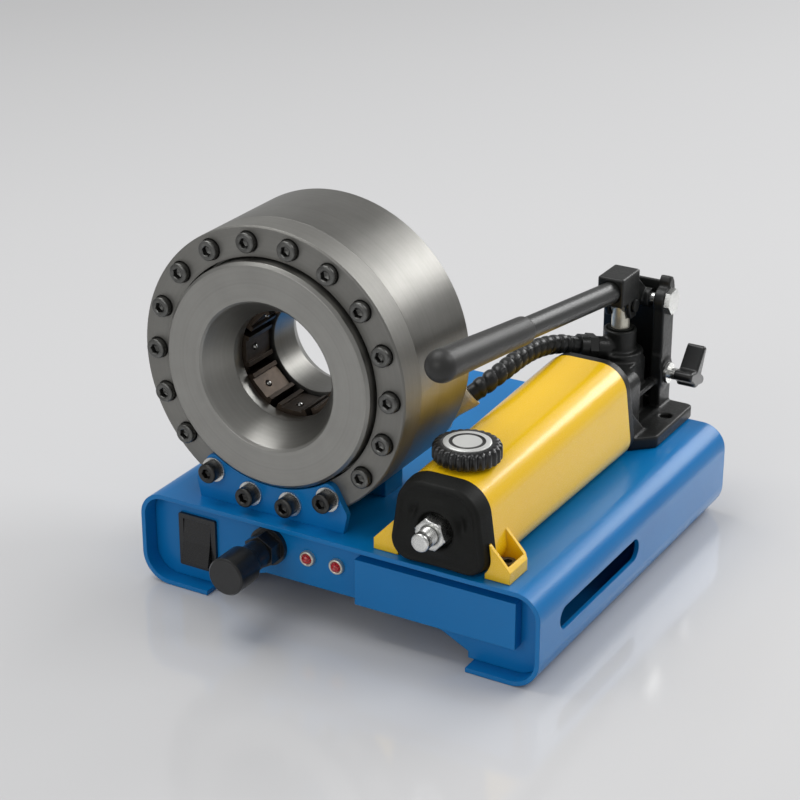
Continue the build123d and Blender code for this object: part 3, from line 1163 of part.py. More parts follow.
def lever_grip():
    """Moulded grip with a ball end over the lever tube."""
    end = LEVER_START + LEVER_LENGTH + GRIP_R
    start = end - GRIP_LENGTH - GRIP_R
    hollow = end - GRIP_R - GRIP_SOLID
    drop, run = GRIP_NECK_EDGE
    ball = [(GRIP_R * sin(radians(a)), end - GRIP_R + GRIP_R * cos(radians(a))) for a in range(90, -1, -15)]
    points = [(LEVER_R, start), (GRIP_NECK_R - drop, start), (GRIP_NECK_R, start + run), *ball[:-1], (0, end),
              (0, hollow), (LEVER_R, hollow)]
    return lever_profile(points)


def release_stem():
    """Valve stem, from inside the casting to inside the knob, with its bright gland washer."""
    stem = bore_x(RELEASE_DEPTH, RELEASE_Z, RELEASE_STEM_R, RELEASE_BOSS_X - RELEASE_STEM_IN,
                  RELEASE_KNOB_X + RELEASE_KNOB_T / 2)
    washer = RELEASE_BOSS_X + SPIGOT_CLEAR
    return stem + bore_x(RELEASE_DEPTH, RELEASE_Z, RELEASE_GLAND_R, washer, washer + RELEASE_GLAND_T)


def release_knob():
    """Hand knob with one long wing and two short ones."""
    outline = Circle(RELEASE_HUB_R)
    for turn, reach, tip_r, root in RELEASE_ARMS:
        tip = Pos(reach - tip_r, 0) * Circle(tip_r)
        wing = make_hull([*tip.edges(), *Rectangle(RELEASE_EDGE / 5, 2 * root).edges()])
        outline += Rot(0, 0, turn) * wing
    knob = extrude(yz_plane(RELEASE_KNOB_X, RELEASE_DEPTH, RELEASE_Z) * outline, amount=RELEASE_KNOB_T)
    knob = chamfer(knob.faces().sort_by(Axis.X)[-1].edges(), RELEASE_EDGE)
    return knob - bore_x(RELEASE_DEPTH, RELEASE_Z, RELEASE_STEM_R, RELEASE_KNOB_X,
                         RELEASE_KNOB_X + RELEASE_KNOB_T / 2)


# ---- hose ----------------------------------------------------------------------------------------

def port_centre():
    """Centre of the head port on the back of the housing."""
    angle = radians(PORT_ANGLE)
    return Vector(HEAD_X + PORT_RADIUS * cos(angle), y_at(HEAD_BACK), HEAD_Z + PORT_RADIUS * sin(angle))


def port_ball():
    """Centre of the ball where the port elbow turns towards the hose."""
    return port_centre() + Vector(0, PORT_REACH, 0)


def route_points():
    """Points of the hose route, pump end first, with the last bend in line with the port."""
    gland = Vector(PUMP_X, y_at(GLAND_DEPTH), PUMP_Z)
    before, end = [port_centre() + Vector(*offset) for offset in HOSE_END]
    last_bend = end + (end - port_ball()).normalized() * HOSE_LAST_RUN
    return [gland + Vector(*offset) for offset in HOSE_START] + [before, last_bend, end]


def route_radii(points):
    """Largest arc that the runs on each side of every inner point allow."""
    last = len(points) - 1
    radii = []
    for index in range(1, last):
        before, here, after = points[index - 1:index + 2]
        share_in = HOSE_END_SHARE if index == 1 else HOSE_RUN_SHARE
        share_out = HOSE_END_SHARE if index == last - 1 else HOSE_RUN_SHARE
        run = min((here - before).length * share_in, (after - here).length * share_out)
        radii.append(run / tan(radians((here - before).get_angle(after - here)) / 2))
    return radii


def hose():
    """Hose of constant diameter along straight runs joined by tangent arcs."""
    points = route_points()
    radii = route_radii(points)
    print("hose radii", [round(r, 1) for r in radii])
    path = FilletPolyline(*points, radius=radii)
    start = Plane(origin=points[0], z_dir=points[1] - points[0])
    tube = sweep(start * Circle(HOSE_R), path=path)
    solid = pi * HOSE_R ** 2 * path.length
    print("hose length", round(path.length, 1), "volume share", round(tube.volume / solid, 4))
    return tube


def hose_swivel():
    """Ferrule and hex swivel nut between the hose and the pump outlet."""
    seat = outlet_frame()
    nut = extrude(seat * hexagon(SWIVEL_AF), amount=SWIVEL_HEX_T)
    return nut + extrude(seat.offset(SWIVEL_HEX_T) * Circle(FERRULE_R), amount=FERRULE_LENGTH)


def port_frame():
    """Plane on the ball of the port elbow, looking at the end of the hose."""
    return Plane(origin=port_ball(), z_dir=route_points()[-1] - port_ball())


def head_port():
    """Port elbow with its spigot in the back wall of the housing."""
    centre = port_centre()
    reach = (route_points()[-1] - port_ball()).length - FITTING_LENGTH
    elbow = cyl_y(centre.X, centre.Z, PORT_R, HEAD_BACK, PORT_REACH) + Pos(*port_ball()) * Sphere(PORT_R)
    elbow += cyl_y(centre.X, centre.Z, PORT_SPIGOT_R, HEAD_BACK - PORT_SPIGOT, PORT_SPIGOT)
    return elbow + extrude(port_frame() * Circle(FITTING_TIP_R), amount=reach)


def hose_fitting():
    """Tapered end fitting between the port elbow and the hose."""
    wide = Plane(origin=route_points()[-1], z_dir=port_frame().z_dir)
    tip = wide.offset(-FITTING_LENGTH) * Circle(FITTING_TIP_R)
    cone = loft([tip, wide.offset(-FITTING_RIM) * Circle(FERRULE_R)])
    return cone + extrude(wide.offset(-FITTING_RIM) * Circle(FERRULE_R), amount=FITTING_RIM)


def build_pump():
    """File the nodes of the hand pump."""
    keep("pump_reservoir", pump_reservoir())
    keep("oil_bladder", oil_bladder())
    keep("end_boot", end_boot())
    keep("tie_rod", tie_rod())
    keep("tie_nut", tie_nut())
    keep("filler_cap", filler_cap())
    keep("filler_cap_disc", filler_cap_disc())
    keep("pump_head", pump_head())
    keep("gland_ring", gland_ring())
    keep("plunger", plunger())
    keep("plunger_pin", plunger_pin())
    keep("ear_bolt", ear_bolt())
    keep("lever_block", lever_block())
    keep("lever_tube", lever_tube())
    keep("lever_grip", lever_grip())
    keep("release_stem", release_stem())
    keep("release_knob", release_knob())
    keep("hose", hose())
    keep("hose_swivel", hose_swivel())
    keep("hose_fitting", hose_fitting())
    keep("head_port", head_port())
    lugs = [PUMP_X + side * LUG_HOLE_X for side in (-1, 1)]
    seat = PUMP_Z + LUG_RIB_T + LUG_SCREW_GAP
    keep("lug_screws", *[upright_screw(x, lug_screw_y(), seat, M6_R, M6_HEAD_R, M6_HEAD_H, M6_SOCKET_AF)
                         for x in lugs])
    feet = [PUMP_X + side * FOOT_HOLE_X for side in (-1, 1)]
    keep("foot_screws", *[foot_screw(x) for x in feet])


def write_parts():
    """Write one STEP file per node."""
    os.makedirs("parts", exist_ok=True)
    for name, solids in PARTS.items():
        shape = solids[0] if len(solids) == 1 else Compound(children=solids)
        export_step(shape, f"parts/{name}.step")


build_base()
build_head()
build_pump()
write_parts()
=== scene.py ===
"""Dresses the hose crimping machine: finishes for every solid, and detailed pieces where a solid is plain.

Every length is in metres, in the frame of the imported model: X to the right, Y to the back, Z up.
"""
import logging
from dataclasses import dataclass, field
from enum import Enum
from math import cos, pi, radians, sin

import bmesh
import bpy
import numpy as np
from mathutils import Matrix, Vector


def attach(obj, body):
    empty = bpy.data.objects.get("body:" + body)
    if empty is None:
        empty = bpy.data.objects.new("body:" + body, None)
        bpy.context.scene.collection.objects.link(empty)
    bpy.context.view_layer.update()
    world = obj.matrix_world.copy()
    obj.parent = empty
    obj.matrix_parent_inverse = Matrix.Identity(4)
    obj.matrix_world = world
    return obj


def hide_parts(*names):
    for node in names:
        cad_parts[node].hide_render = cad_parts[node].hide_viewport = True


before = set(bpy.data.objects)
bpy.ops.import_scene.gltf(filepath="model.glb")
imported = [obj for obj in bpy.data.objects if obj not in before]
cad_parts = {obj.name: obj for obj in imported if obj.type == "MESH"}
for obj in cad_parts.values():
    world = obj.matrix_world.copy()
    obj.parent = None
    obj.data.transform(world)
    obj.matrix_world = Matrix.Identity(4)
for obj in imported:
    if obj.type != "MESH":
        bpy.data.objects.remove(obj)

LOG = logging.getLogger("crimping_machine")
DIE_COUNT = 8
Point = tuple[float, float, float]
Colour = tuple[float, float, float]
Outline = list[tuple[float, float]]
Prism = tuple[Outline, float, float]
Surface = tuple[np.ndarray, list[list[int]]]
Socket = bpy.types.NodeSocket


class Finish(Enum):
    """The finishes of the machine; all but four have the names of the record's material slots."""

    BLUE_PAINT = "blue_paint"
    YELLOW_PAINT = "yellow_paint"
    HEAD_STEEL = "head_steel"
    RING_STEEL = "ring_steel"
    DISC_STEEL = "disc_steel"
    DIE_STEEL = "die_steel"
    BLACK_SCREW = "black_screw"
    BRACKET_BOLT = "bracket_bolt"
    ZINC = "zinc"
    CHROME = "chrome"
    BRASS = "brass"
    BLACK_PLASTIC = "black_plastic"
    ROCKER_BLACK = "rocker_black"
    RED_LENS = "red_lens"
    RUBBER = "rubber"
    BLACK_CASTING = "black_casting"
    BLACK_STEEL = "black_steel"
    GRIP_BLACK = "grip_black"
    CAP_PLATE = "cap_plate"
    HOSE_BLACK = "hose_black"

    @property
    def record_slot(self) -> str:
        """The record's slot that the finish belongs to."""
        shared = {Finish.RING_STEEL: "head_steel", Finish.DISC_STEEL: "head_steel",
                  Finish.BRACKET_BOLT: "black_screw", Finish.CAP_PLATE: "zinc"}
        return shared.get(self, self.value)


def linear(red: int, green: int, blue: int) -> Colour:
    """Turns a screen colour into linear light by the standard curve.

    Args:
        red: red channel, 0 to 255.
        green: green channel, 0 to 255.
        blue: blue channel, 0 to 255.

    Returns:
        The three linear channels, 0 to 1.
    """
    value = np.array([red, green, blue], float) / 255
    light = np.where(value <= 0.04045, value / 12.92, ((value + 0.055) / 1.055) ** 2.4)
    return tuple(float(part) for part in light)


def placed(name: str, data: bpy.types.ID) -> bpy.types.Object:
    """Makes an object of some data and links it into the scene.

    Args:
        name: name of the object.
        data: its mesh, curve, lamp or camera.

    Returns:
        The new object.
    """
    obj = bpy.data.objects.new(name, data)
    bpy.context.scene.collection.objects.link(obj)
    return obj


class Graph:
    """A material's node tree while it is wired up."""

    def __init__(self, name: str) -> None:
        """Starts a material with one shader wired to its output.

        Args:
            name: name of the material.
        """
        self.material = bpy.data.materials.new(name)
        self.material.use_nodes = True
        self.tree = self.material.node_tree
        self.tree.nodes.clear()
        output = self.add("ShaderNodeOutputMaterial")
        self.shader = self.add("ShaderNodeBsdfPrincipled")
        self.join(self.shader.outputs["BSDF"], output.inputs["Surface"])

    def add(self, kind: str, values: dict | None = None, **settings: object) -> bpy.types.Node:
        """Adds a node.

        Args:
            kind: Blender's name of the node type.
            values: numbers for its input sockets, by name.
            settings: properties of the node itself.

        Returns:
            The new node.
        """
        node = self.tree.nodes.new(kind)
        for key, value in settings.items():
            setattr(node, key, value)
        for key, value in (values or {}).items():
            node.inputs[key].default_value = value
        return node

    def join(self, source: Socket, target: Socket) -> None:
        """Links an output socket to an input socket."""
        self.tree.links.new(source, target)

    def place(self, centre: Point = (0.0, 0.0, 0.0)) -> Socket:
        """Object coordinates measured from a centre.

        Args:
            centre: point that becomes the pattern's origin.

        Returns:
            The vector socket.
        """
        source = self.add("ShaderNodeTexCoord")
        mapping = self.add("ShaderNodeMapping", {"Location": centre}, vector_type="TEXTURE")
        self.join(source.outputs["Object"], mapping.inputs["Vector"])
        return mapping.outputs["Vector"]

    def reach(self, parts: bpy.types.Node, first: str, second: str) -> Socket:
        """Distance from an axis through the pattern's origin.

        Args:
            parts: node that holds the separate coordinates.
            first: one coordinate across the axis.
            second: the other coordinate across the axis.

        Returns:
            The distance socket.
        """
        flat = self.add("ShaderNodeCombineXYZ")
        self.join(parts.outputs[first], flat.inputs["X"])
        self.join(parts.outputs[second], flat.inputs["Y"])
        away = self.add("ShaderNodeVectorMath", operation="LENGTH")
        self.join(flat.outputs[0], away.inputs[0])
        return away.outputs["Value"]

    def noise(self, vector: Socket, scale: float, detail: float = 3.0,
              rough: float = 0.5) -> Socket:
        """Fractal noise of so many cells a metre.

        Args:
            vector: coordinates to read.
            scale: cells in a metre.
            detail: octaves.
            rough: strength of the finer octaves.

        Returns:
            The value socket, about 0 to 1.
        """
        node = self.add("ShaderNodeTexNoise", {"Scale": scale, "Detail": detail, "Roughness": rough})
        self.join(vector, node.inputs["Vector"])
        return node.outputs[0]

    def spread(self, value: Socket, low: float, high: float, start: float = 0.3,
               stop: float = 0.7) -> Socket:
        """Stretches a value between start and stop onto low to high, and clamps it.

        Args:
            value: socket to read.
            low: result at start.
            high: result at stop.
            start: value that gives low.
            stop: value that gives high.

        Returns:
            The stretched value's socket.
        """
        numbers = {"From Min": start, "From Max": stop, "To Min": low, "To Max": high}
        node = self.add("ShaderNodeMapRange", numbers)
        self.join(value, node.inputs["Value"])
        return node.outputs["Result"]

    def blend(self, share: Socket, first: Colour, second: Colour) -> Socket:
        """Mixes two colours by a share.

        Args:
            share: socket, 0 for the first colour and 1 for the second.
            first: colour at 0.
            second: colour at 1.

        Returns:
            The colour socket.
        """
        node = self.add("ShaderNodeMix", data_type="RGBA")
        self.join(share, node.inputs[0])
        node.inputs[6].default_value = (*first, 1.0)
        node.inputs[7].default_value = (*second, 1.0)
        return node.outputs[2]

    def relief(self, height: Socket, depth: float, strength: float,
               under: Socket | None = None) -> Socket:
        """Bumps the surface by a height value.

        Args:
            height: socket of the height, 0 to 1.
            depth: height of a value of 1, in metres.
            strength: share of the bump that shows.
            under: normal socket to build on.

        Returns:
            The normal socket.
        """
        node = self.add("ShaderNodeBump", {"Strength": strength, "Distance": depth})
        self.join(height, node.inputs["Height"])
        if under is not None:
            self.join(under, node.inputs["Normal"])
        return node.outputs["Normal"]

    def eased_edges(self, radius: float) -> Socket:
        """Normals that look as if sharp edges had this radius."""
        node = self.add("ShaderNodeBevel", {"Radius": radius}, samples=6)
        return node.outputs["Normal"]

    def tint(self, share: Socket, first: Colour, second: Colour) -> None:
        """Drives the base colour by a share of two colours."""
        self.drive("Base Color", self.blend(share, first, second))

    def set(self, **numbers: object) -> None:
        """Sets plain values on the shader's sockets, by their names with underscores for spaces."""
        for key, value in numbers.items():
            self.shader.inputs[key.replace("_", " ")].default_value = value

    def drive(self, name: str, socket: Socket) -> None:
        """Links a socket to one of the shader's inputs."""
        self.join(socket, self.shader.inputs[name])


@dataclass(frozen=True)
class Paint:
    """Sprayed paint: faint orange peel, slow drift of shade, soft edges."""

    slot: Finish
    colour: Colour
    shade: Colour
    gloss: float
    peel: float = 0.00002
    peel_scale: float = 900.0
    edge: float = 0.0008
    coat: float = 0.35
    shine: float = 0.5

    def material(self) -> bpy.types.Material:
        """Wires the paint.

        Returns:
            The finished material.
        """
        graph = Graph(self.slot.value)
        place = graph.place()
        drift = graph.spread(graph.noise(place, 14, 4), 0, 1)
        graph.tint(drift, self.colour, self.shade)
        dust = graph.noise(place, 2600, 2)
        graph.drive("Roughness", graph.spread(dust, self.gloss * 0.88, self.gloss * 1.15))
        peel = graph.noise(place, self.peel_scale, 2)
        graph.drive("Normal", graph.relief(peel, self.peel, 0.6, graph.eased_edges(self.edge)))
        graph.set(Coat_Weight=self.coat, Coat_Roughness=0.12, Specular_IOR_Level=self.shine)
        return graph.material


@dataclass(frozen=True)
class TurnedSteel:
    """Steel finished on a lathe: fine grooves round an axis along Y, with a satin sheen."""

    slot: Finish
    centre: Point
    colour: Colour
    shade: Colour
    gloss: float
    groove: float = 0.000012

    def material(self) -> bpy.types.Material:
        """Wires the steel; the pattern reads the distance from the axis and the place along it.

        Returns:
            The finished material.
        """
        graph = Graph(self.slot.value)
        place = graph.place(self.centre)
        parts = graph.add("ShaderNodeSeparateXYZ")
        graph.join(place, parts.inputs[0])
        ring = graph.add("ShaderNodeCombineXYZ")
        graph.join(graph.reach(parts, "X", "Z"), ring.inputs["X"])
        graph.join(parts.outputs["Y"], ring.inputs["Y"])
        lines = graph.noise(ring.outputs[0], 5200, 3, 0.7)
        bands = graph.noise(ring.outputs[0], 420, 3, 0.6)
        stain = graph.noise(place, 32, 5, 0.6)
        tone = graph.add("ShaderNodeMath", operation="MULTIPLY_ADD")
        graph.join(bands, tone.inputs[0])
        tone.inputs[1].default_value = 0.6
        graph.join(stain, tone.inputs[2])
        graph.tint(graph.spread(tone.outputs[0], 0, 1, 0.55, 1.05), self.colour, self.shade)
        graph.drive("Roughness", graph.spread(lines, self.gloss * 0.85, self.gloss * 1.2))
        cut = graph.relief(lines, self.groove, 0.5, graph.eased_edges(0.0007))
        graph.drive("Normal", cut)
        graph.set(Metallic=0.9)
        return graph.material


@dataclass(frozen=True)
class PlatedMetal:
    """Plated or polished metal with faint clouding and scratches."""

    slot: Finish
    colour: Colour
    shade: Colour
    gloss: float
    metal: float = 1.0
    grain: float = 0.00001
    grain_scale: float = 1800.0
    edge: float = 0.0004

    def material(self) -> bpy.types.Material:
        """Wires the metal.

        Returns:
            The finished material.
        """
        graph = Graph(self.slot.value)
        place = graph.place()
        cloud = graph.noise(place, 160, 5, 0.6)
        graph.tint(graph.spread(cloud, 0, 1), self.colour, self.shade)
        grain = graph.noise(place, self.grain_scale, 3, 0.6)
        graph.drive("Roughness", graph.spread(grain, self.gloss * 0.75, self.gloss * 1.3))
        graph.drive("Normal", graph.relief(grain, self.grain, 0.5, graph.eased_edges(self.edge)))
        graph.set(Metallic=self.metal)
        return graph.material


@dataclass(frozen=True)
class Moulded:
    """Moulded plastic, rubber or a coated casting: matt skin with an even grain."""

    slot: Finish
    colour: Colour
    shade: Colour
    gloss: float
    grain: float
    grain_scale: float
    lump: float = 0.0
    lump_scale: float = 60.0
    edge: float = 0.0005
    coat: float = 0.0
    shine: float = 0.4

    def material(self) -> bpy.types.Material:
        """Wires the skin.

        Returns:
            The finished material.
        """
        graph = Graph(self.slot.value)
        place = graph.place()
        cloud = graph.noise(place, 70, 4, 0.6)
        graph.tint(graph.spread(cloud, 0, 1), self.colour, self.shade)
        grain = graph.noise(place, self.grain_scale, 3, 0.6)
        graph.drive("Roughness", graph.spread(grain, self.gloss * 0.85, min(1.0, self.gloss * 1.2)))
        skin = graph.relief(grain, self.grain, 0.7, graph.eased_edges(self.edge))
        if self.lump:
            skin = graph.relief(graph.noise(place, self.lump_scale, 2), self.lump, 0.8, skin)
        graph.drive("Normal", skin)
        graph.set(Coat_Weight=self.coat, Coat_Roughness=0.2, Specular_IOR_Level=self.shine)
        return graph.material


@dataclass(frozen=True)
class Lens:
    """Clear coloured plastic over a lit lamp, with small facets."""

    slot: Finish
    colour: Colour
    shade: Colour

    def material(self) -> bpy.types.Material:
        """Wires the lens.

        Returns:
            The finished material.
        """
        graph = Graph(self.slot.value)
        cells = graph.add("ShaderNodeTexVoronoi", {"Scale": 900.0})
        graph.join(graph.place(), cells.inputs["Vector"])
        graph.tint(graph.spread(cells.outputs["Distance"], 0, 1, 0.1, 0.6), self.colour, self.shade)
        graph.drive("Normal", graph.relief(cells.outputs["Distance"], 0.0003, 0.8))
        graph.set(Roughness=0.12, Coat_Weight=1.0, Coat_Roughness=0.04, Emission_Color=(*self.colour, 1.0),
                  Emission_Strength=0.12)
        return graph.material


@dataclass(frozen=True)
class BandedPlate:
    """Bright speckled plate with a dark band round its middle."""

    slot: Finish
    centre: Point
    colour: Colour
    band_colour: Colour
    inner: float
    outer: float

    def material(self) -> bpy.types.Material:
        """Wires the plate; the band lies between two distances from the upright axis.

        Returns:
            The finished material.
        """
        graph = Graph(self.slot.value)
        parts = graph.add("ShaderNodeSeparateXYZ")
        graph.join(graph.place(self.centre), parts.inputs[0])
        away = graph.reach(parts, "X", "Y")
        rise = graph.spread(away, 0, 1, self.inner, self.inner + 0.0003)
        fall = graph.spread(away, 1, 0, self.outer, self.outer + 0.0003)
        band = graph.add("ShaderNodeMath", operation="MULTIPLY")
        graph.join(rise, band.inputs[0])
        graph.join(fall, band.inputs[1])
        speck = graph.noise(graph.place(), 1500, 3, 0.7)
        graph.tint(band.outputs[0], self.colour, self.band_colour)
        graph.drive("Roughness", graph.spread(speck, 0.3, 0.5))
        graph.drive("Normal", graph.relief(speck, 0.00006, 0.6))
        graph.set(Metallic=0.55)
        return graph.material


HEAD_AXIS: Point = (-0.0523, 0.0, 0.1592)
FINISHES = (
    Paint(Finish.BLUE_PAINT, linear(0, 118, 186), linear(0, 111, 178), 0.34, coat=0.1, shine=0.3),
    Paint(Finish.YELLOW_PAINT, linear(255, 206, 22), linear(252, 200, 16), 0.26, edge=0.001, coat=0.5),
    TurnedSteel(Finish.HEAD_STEEL, HEAD_AXIS, linear(136, 135, 131), linear(122, 121, 117), 0.33),
    TurnedSteel(Finish.RING_STEEL, HEAD_AXIS, linear(138, 137, 133), linear(126, 125, 121), 0.48),
    TurnedSteel(Finish.DISC_STEEL, HEAD_AXIS, linear(156, 155, 151), linear(145, 144, 140), 0.34),
    PlatedMetal(Finish.DIE_STEEL, linear(70, 60, 51), linear(50, 43, 37), 0.38, 0.9),
    PlatedMetal(Finish.BLACK_SCREW, linear(112, 112, 110), linear(84, 84, 82), 0.32, 0.95, edge=0.0006),
    PlatedMetal(Finish.BRACKET_BOLT, linear(76, 76, 75), linear(56, 56, 55), 0.36, 0.95, edge=0.0006),
    PlatedMetal(Finish.ZINC, linear(222, 222, 219), linear(200, 201, 199), 0.27),
    BandedPlate(Finish.CAP_PLATE, (0.0743, -0.1023, 0.0), linear(238, 239, 236), linear(70, 70, 68), 0.0089,
                0.0112),
    PlatedMetal(Finish.CHROME, linear(226, 222, 208), linear(206, 202, 188), 0.36, 0.75, 0.000004),
    PlatedMetal(Finish.BRASS, linear(238, 226, 202), linear(222, 208, 182), 0.34, 0.5),
    Moulded(Finish.BLACK_PLASTIC, linear(24, 25, 26), linear(18, 19, 20), 0.32, 0.00002, 1500, coat=0.35),
    Moulded(Finish.ROCKER_BLACK, linear(26, 26, 27), linear(20, 20, 21), 0.26, 0.00001, 1800, coat=0.25),
    Lens(Finish.RED_LENS, linear(214, 16, 24), linear(120, 0, 6)),
    Moulded(Finish.RUBBER, linear(22, 23, 21), linear(16, 17, 15), 0.56, 0.00003, 1100, coat=0.02, shine=0.2),
    Moulded(Finish.BLACK_CASTING, linear(26, 27, 26), linear(18, 19, 18), 0.44, 0.00014, 800, lump=0.0003,
            lump_scale=140, edge=0.0012, coat=0.1, shine=0.35),
    Moulded(Finish.BLACK_STEEL, linear(26, 27, 26), linear(19, 20, 19), 0.4, 0.00002, 900, coat=0.12),
    Moulded(Finish.GRIP_BLACK, linear(46, 46, 45), linear(37, 37, 36), 0.44, 0.00003, 1400),
    Moulded(Finish.HOSE_BLACK, linear(27, 28, 28), linear(18, 19, 19), 0.36, 0.00003, 1200, coat=0.15),
)


class Shelf:
    """Keeps one material for each finish and dresses nodes and pieces with it."""

    def __init__(self) -> None:
        """Makes every finish's material once."""
        self.materials = {finish.slot: finish.material() for finish in FINISHES}

    def dress(self, finish: Finish, *nodes: str) -> None:
        """Gives CAD nodes a finish in all their material slots.

        Args:
            finish: the finish to give.
            nodes: names of the CAD nodes.
        """
        for name in nodes:
            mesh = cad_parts[name].data
            for index in range(len(mesh.materials)):
                mesh.materials[index] = self.materials[finish]
            if not mesh.materials:
                mesh.materials.append(self.materials[finish])

    def piece(self, name: str, mesh: bpy.types.Mesh, finish: Finish, body: str,
              *stands_for: str) -> bpy.types.Object:
        """Makes a finished piece of a mesh and hangs it on its body.

        Args:
            name: name of the piece.
            mesh: its mesh, in the machine's frame.
            finish: its finish.
            body: the body that it moves with.
            stands_for: CAD nodes that it is shown for.

        Returns:
            The new object.
        """
        obj = placed(name, mesh)
        mesh.materials.clear()
        mesh.materials.append(self.materials[finish])
        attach(obj, body)
        if stands_for:
            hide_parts(*stands_for)
        LOG.info("%s: %d faces on %s", name, len(mesh.polygons), body)
        return obj


def closed_mesh(name: str, surface: Surface, crease: float = 40.0) -> bpy.types.Mesh:
    """Puts a closed surface into a mesh, turns it outwards and shades it.

    Args:
        name: name of the mesh.
        surface: its vertices and faces.
        crease: angle in degrees above which an edge stays sharp.

    Returns:
        The mesh.
    """
    mesh = bpy.data.meshes.new(name)
    mesh.from_pydata(surface[0].tolist(), [], surface[1])
    work = bmesh.new()
    work.from_mesh(mesh)
    bmesh.ops.recalc_face_normals(work, faces=work.faces)
    work.to_mesh(mesh)
    work.free()
    mesh.polygons.foreach_set("use_smooth", np.ones(len(mesh.polygons), bool))
    mesh.set_sharp_from_angle(angle=radians(crease))
    mesh.update()
    return mesh


def turns(columns: int) -> np.ndarray:
    """Even angles round a full turn."""
    return np.linspace(0, 2 * pi, columns, endpoint=False)


def skin(rings: np.ndarray, offset: int = 0) -> Surface:
    """Covers a row of rings and closes both ends with a pole at the ring's middle.

    Args:
        rings: points, indexed by ring, place on the ring and coordinate.
        offset: number of the first vertex.

    Returns:
        The vertices and the faces.
    """
    rows, columns, _ = rings.shape
    poles = np.stack([rings[0].mean(0), rings[-1].mean(0)])
    vertices = np.concatenate([rings.reshape(-1, 3), poles])
    row = np.arange(rows - 1)[:, None] * columns
    here = np.arange(columns)[None, :]
    after = (here + 1) % columns
    corners = [row + here, row + after, row + columns + after, row + columns + here]
    quads = np.stack(corners, -1).reshape(-1, 4)
    last = (rows - 1) * columns
    pole = np.full(columns, rows * columns)
    near = np.stack([pole, after[0], here[0]], -1)
    far = np.stack([pole + 1, last + here[0], last + after[0]], -1)
    faces = (quads + offset).tolist() + (near + offset).tolist() + (far + offset).tolist()
    return vertices, faces


def merged(group: list[np.ndarray]) -> Surface:
    """Covers each set of rings and joins them into one surface.

    Args:
        group: sets of rings.

    Returns:
        The vertices and the faces.
    """
    vertices, faces = [], []
    for rings in group:
        points, more = skin(rings, sum(map(len, vertices)))
        vertices.append(points)
        faces += more
    return np.concatenate(vertices), faces


@dataclass(frozen=True)
class Axis:
    """A turning axis in the machine's frame."""

    origin: Point
    along: Point
    zero: Point

    def rings(self, radius: np.ndarray, height: np.ndarray, columns: int) -> np.ndarray:
        """Points at origin + along·height + (zero·cos + side·sin of the angle)·radius.

        Args:
            radius: radius of each ring, or of each ring and column.
            height: distance of each ring, or of each ring and column, along the axis.
            columns: points on a ring.

        Returns:
            Points, indexed by ring, column and coordinate.
        """
        along, zero = np.array(self.along), np.array(self.zero)
        along = along / np.linalg.norm(along)
        side = np.cross(along, zero)
        angle = turns(columns)
        radius = np.broadcast_to(radius if radius.ndim == 2 else radius[:, None], (len(radius), columns))
        height = np.broadcast_to(height if height.ndim == 2 else height[:, None], (len(height), columns))
        spoke = np.cos(angle)[:, None] * zero + np.sin(angle)[:, None] * side
        return np.array(self.origin) + height[..., None] * along + radius[..., None] * spoke


def hexagon_radius(columns: int, flats: float, turn: float = 0.0) -> np.ndarray:
    """Distance to a hexagon's side at each angle: half the flats over the cosine from the side's middle.

    Args:
        columns: angles round the turn.
        flats: width across flats.
        turn: turn of the hexagon in degrees.

    Returns:
        One distance for each angle.
    """
    angle = turns(columns) - radians(turn)
    return flats / 2 / np.cos(np.mod(angle + pi / 6, pi / 3) - pi / 6)


def turned_mesh(name: str, axis: Axis, profile: Outline, columns: int = 96,
                crease: float = 40.0) -> bpy.types.Mesh:
    """Turns a profile of radius and height in millimetres about an axis.

    Args:
        name: name of the mesh.
        axis: turning axis.
        profile: pairs of radius and distance along the axis, in millimetres.
        columns: points on a ring.
        crease: angle in degrees above which an edge stays sharp.

    Returns:
        The mesh.
    """
    points = np.array(profile, float) / 1000
    return closed_mesh(name, skin(axis.rings(points[:, 0], points[:, 1], columns)), crease)


def prism(outline: Outline, left: float, right: float) -> bmesh.types.BMesh:
    """Closed prism across X, from an outline of Y and Z in millimetres.

    Args:
        outline: corners in order.
        left: lower X in millimetres.
        right: upper X in millimetres.

    Returns:
        The prism.
    """
    shape = bmesh.new()
    ends = [[shape.verts.new((x / 1000, y / 1000, z / 1000)) for y, z in outline] for x in (left, right)]
    for end in ends:
        shape.faces.new(end)
    for index in range(len(outline)):
        shape.faces.new([ends[0][index - 1], ends[0][index], ends[1][index], ends[1][index - 1]])
    bmesh.ops.recalc_face_normals(shape, faces=shape.faces)
    return shape


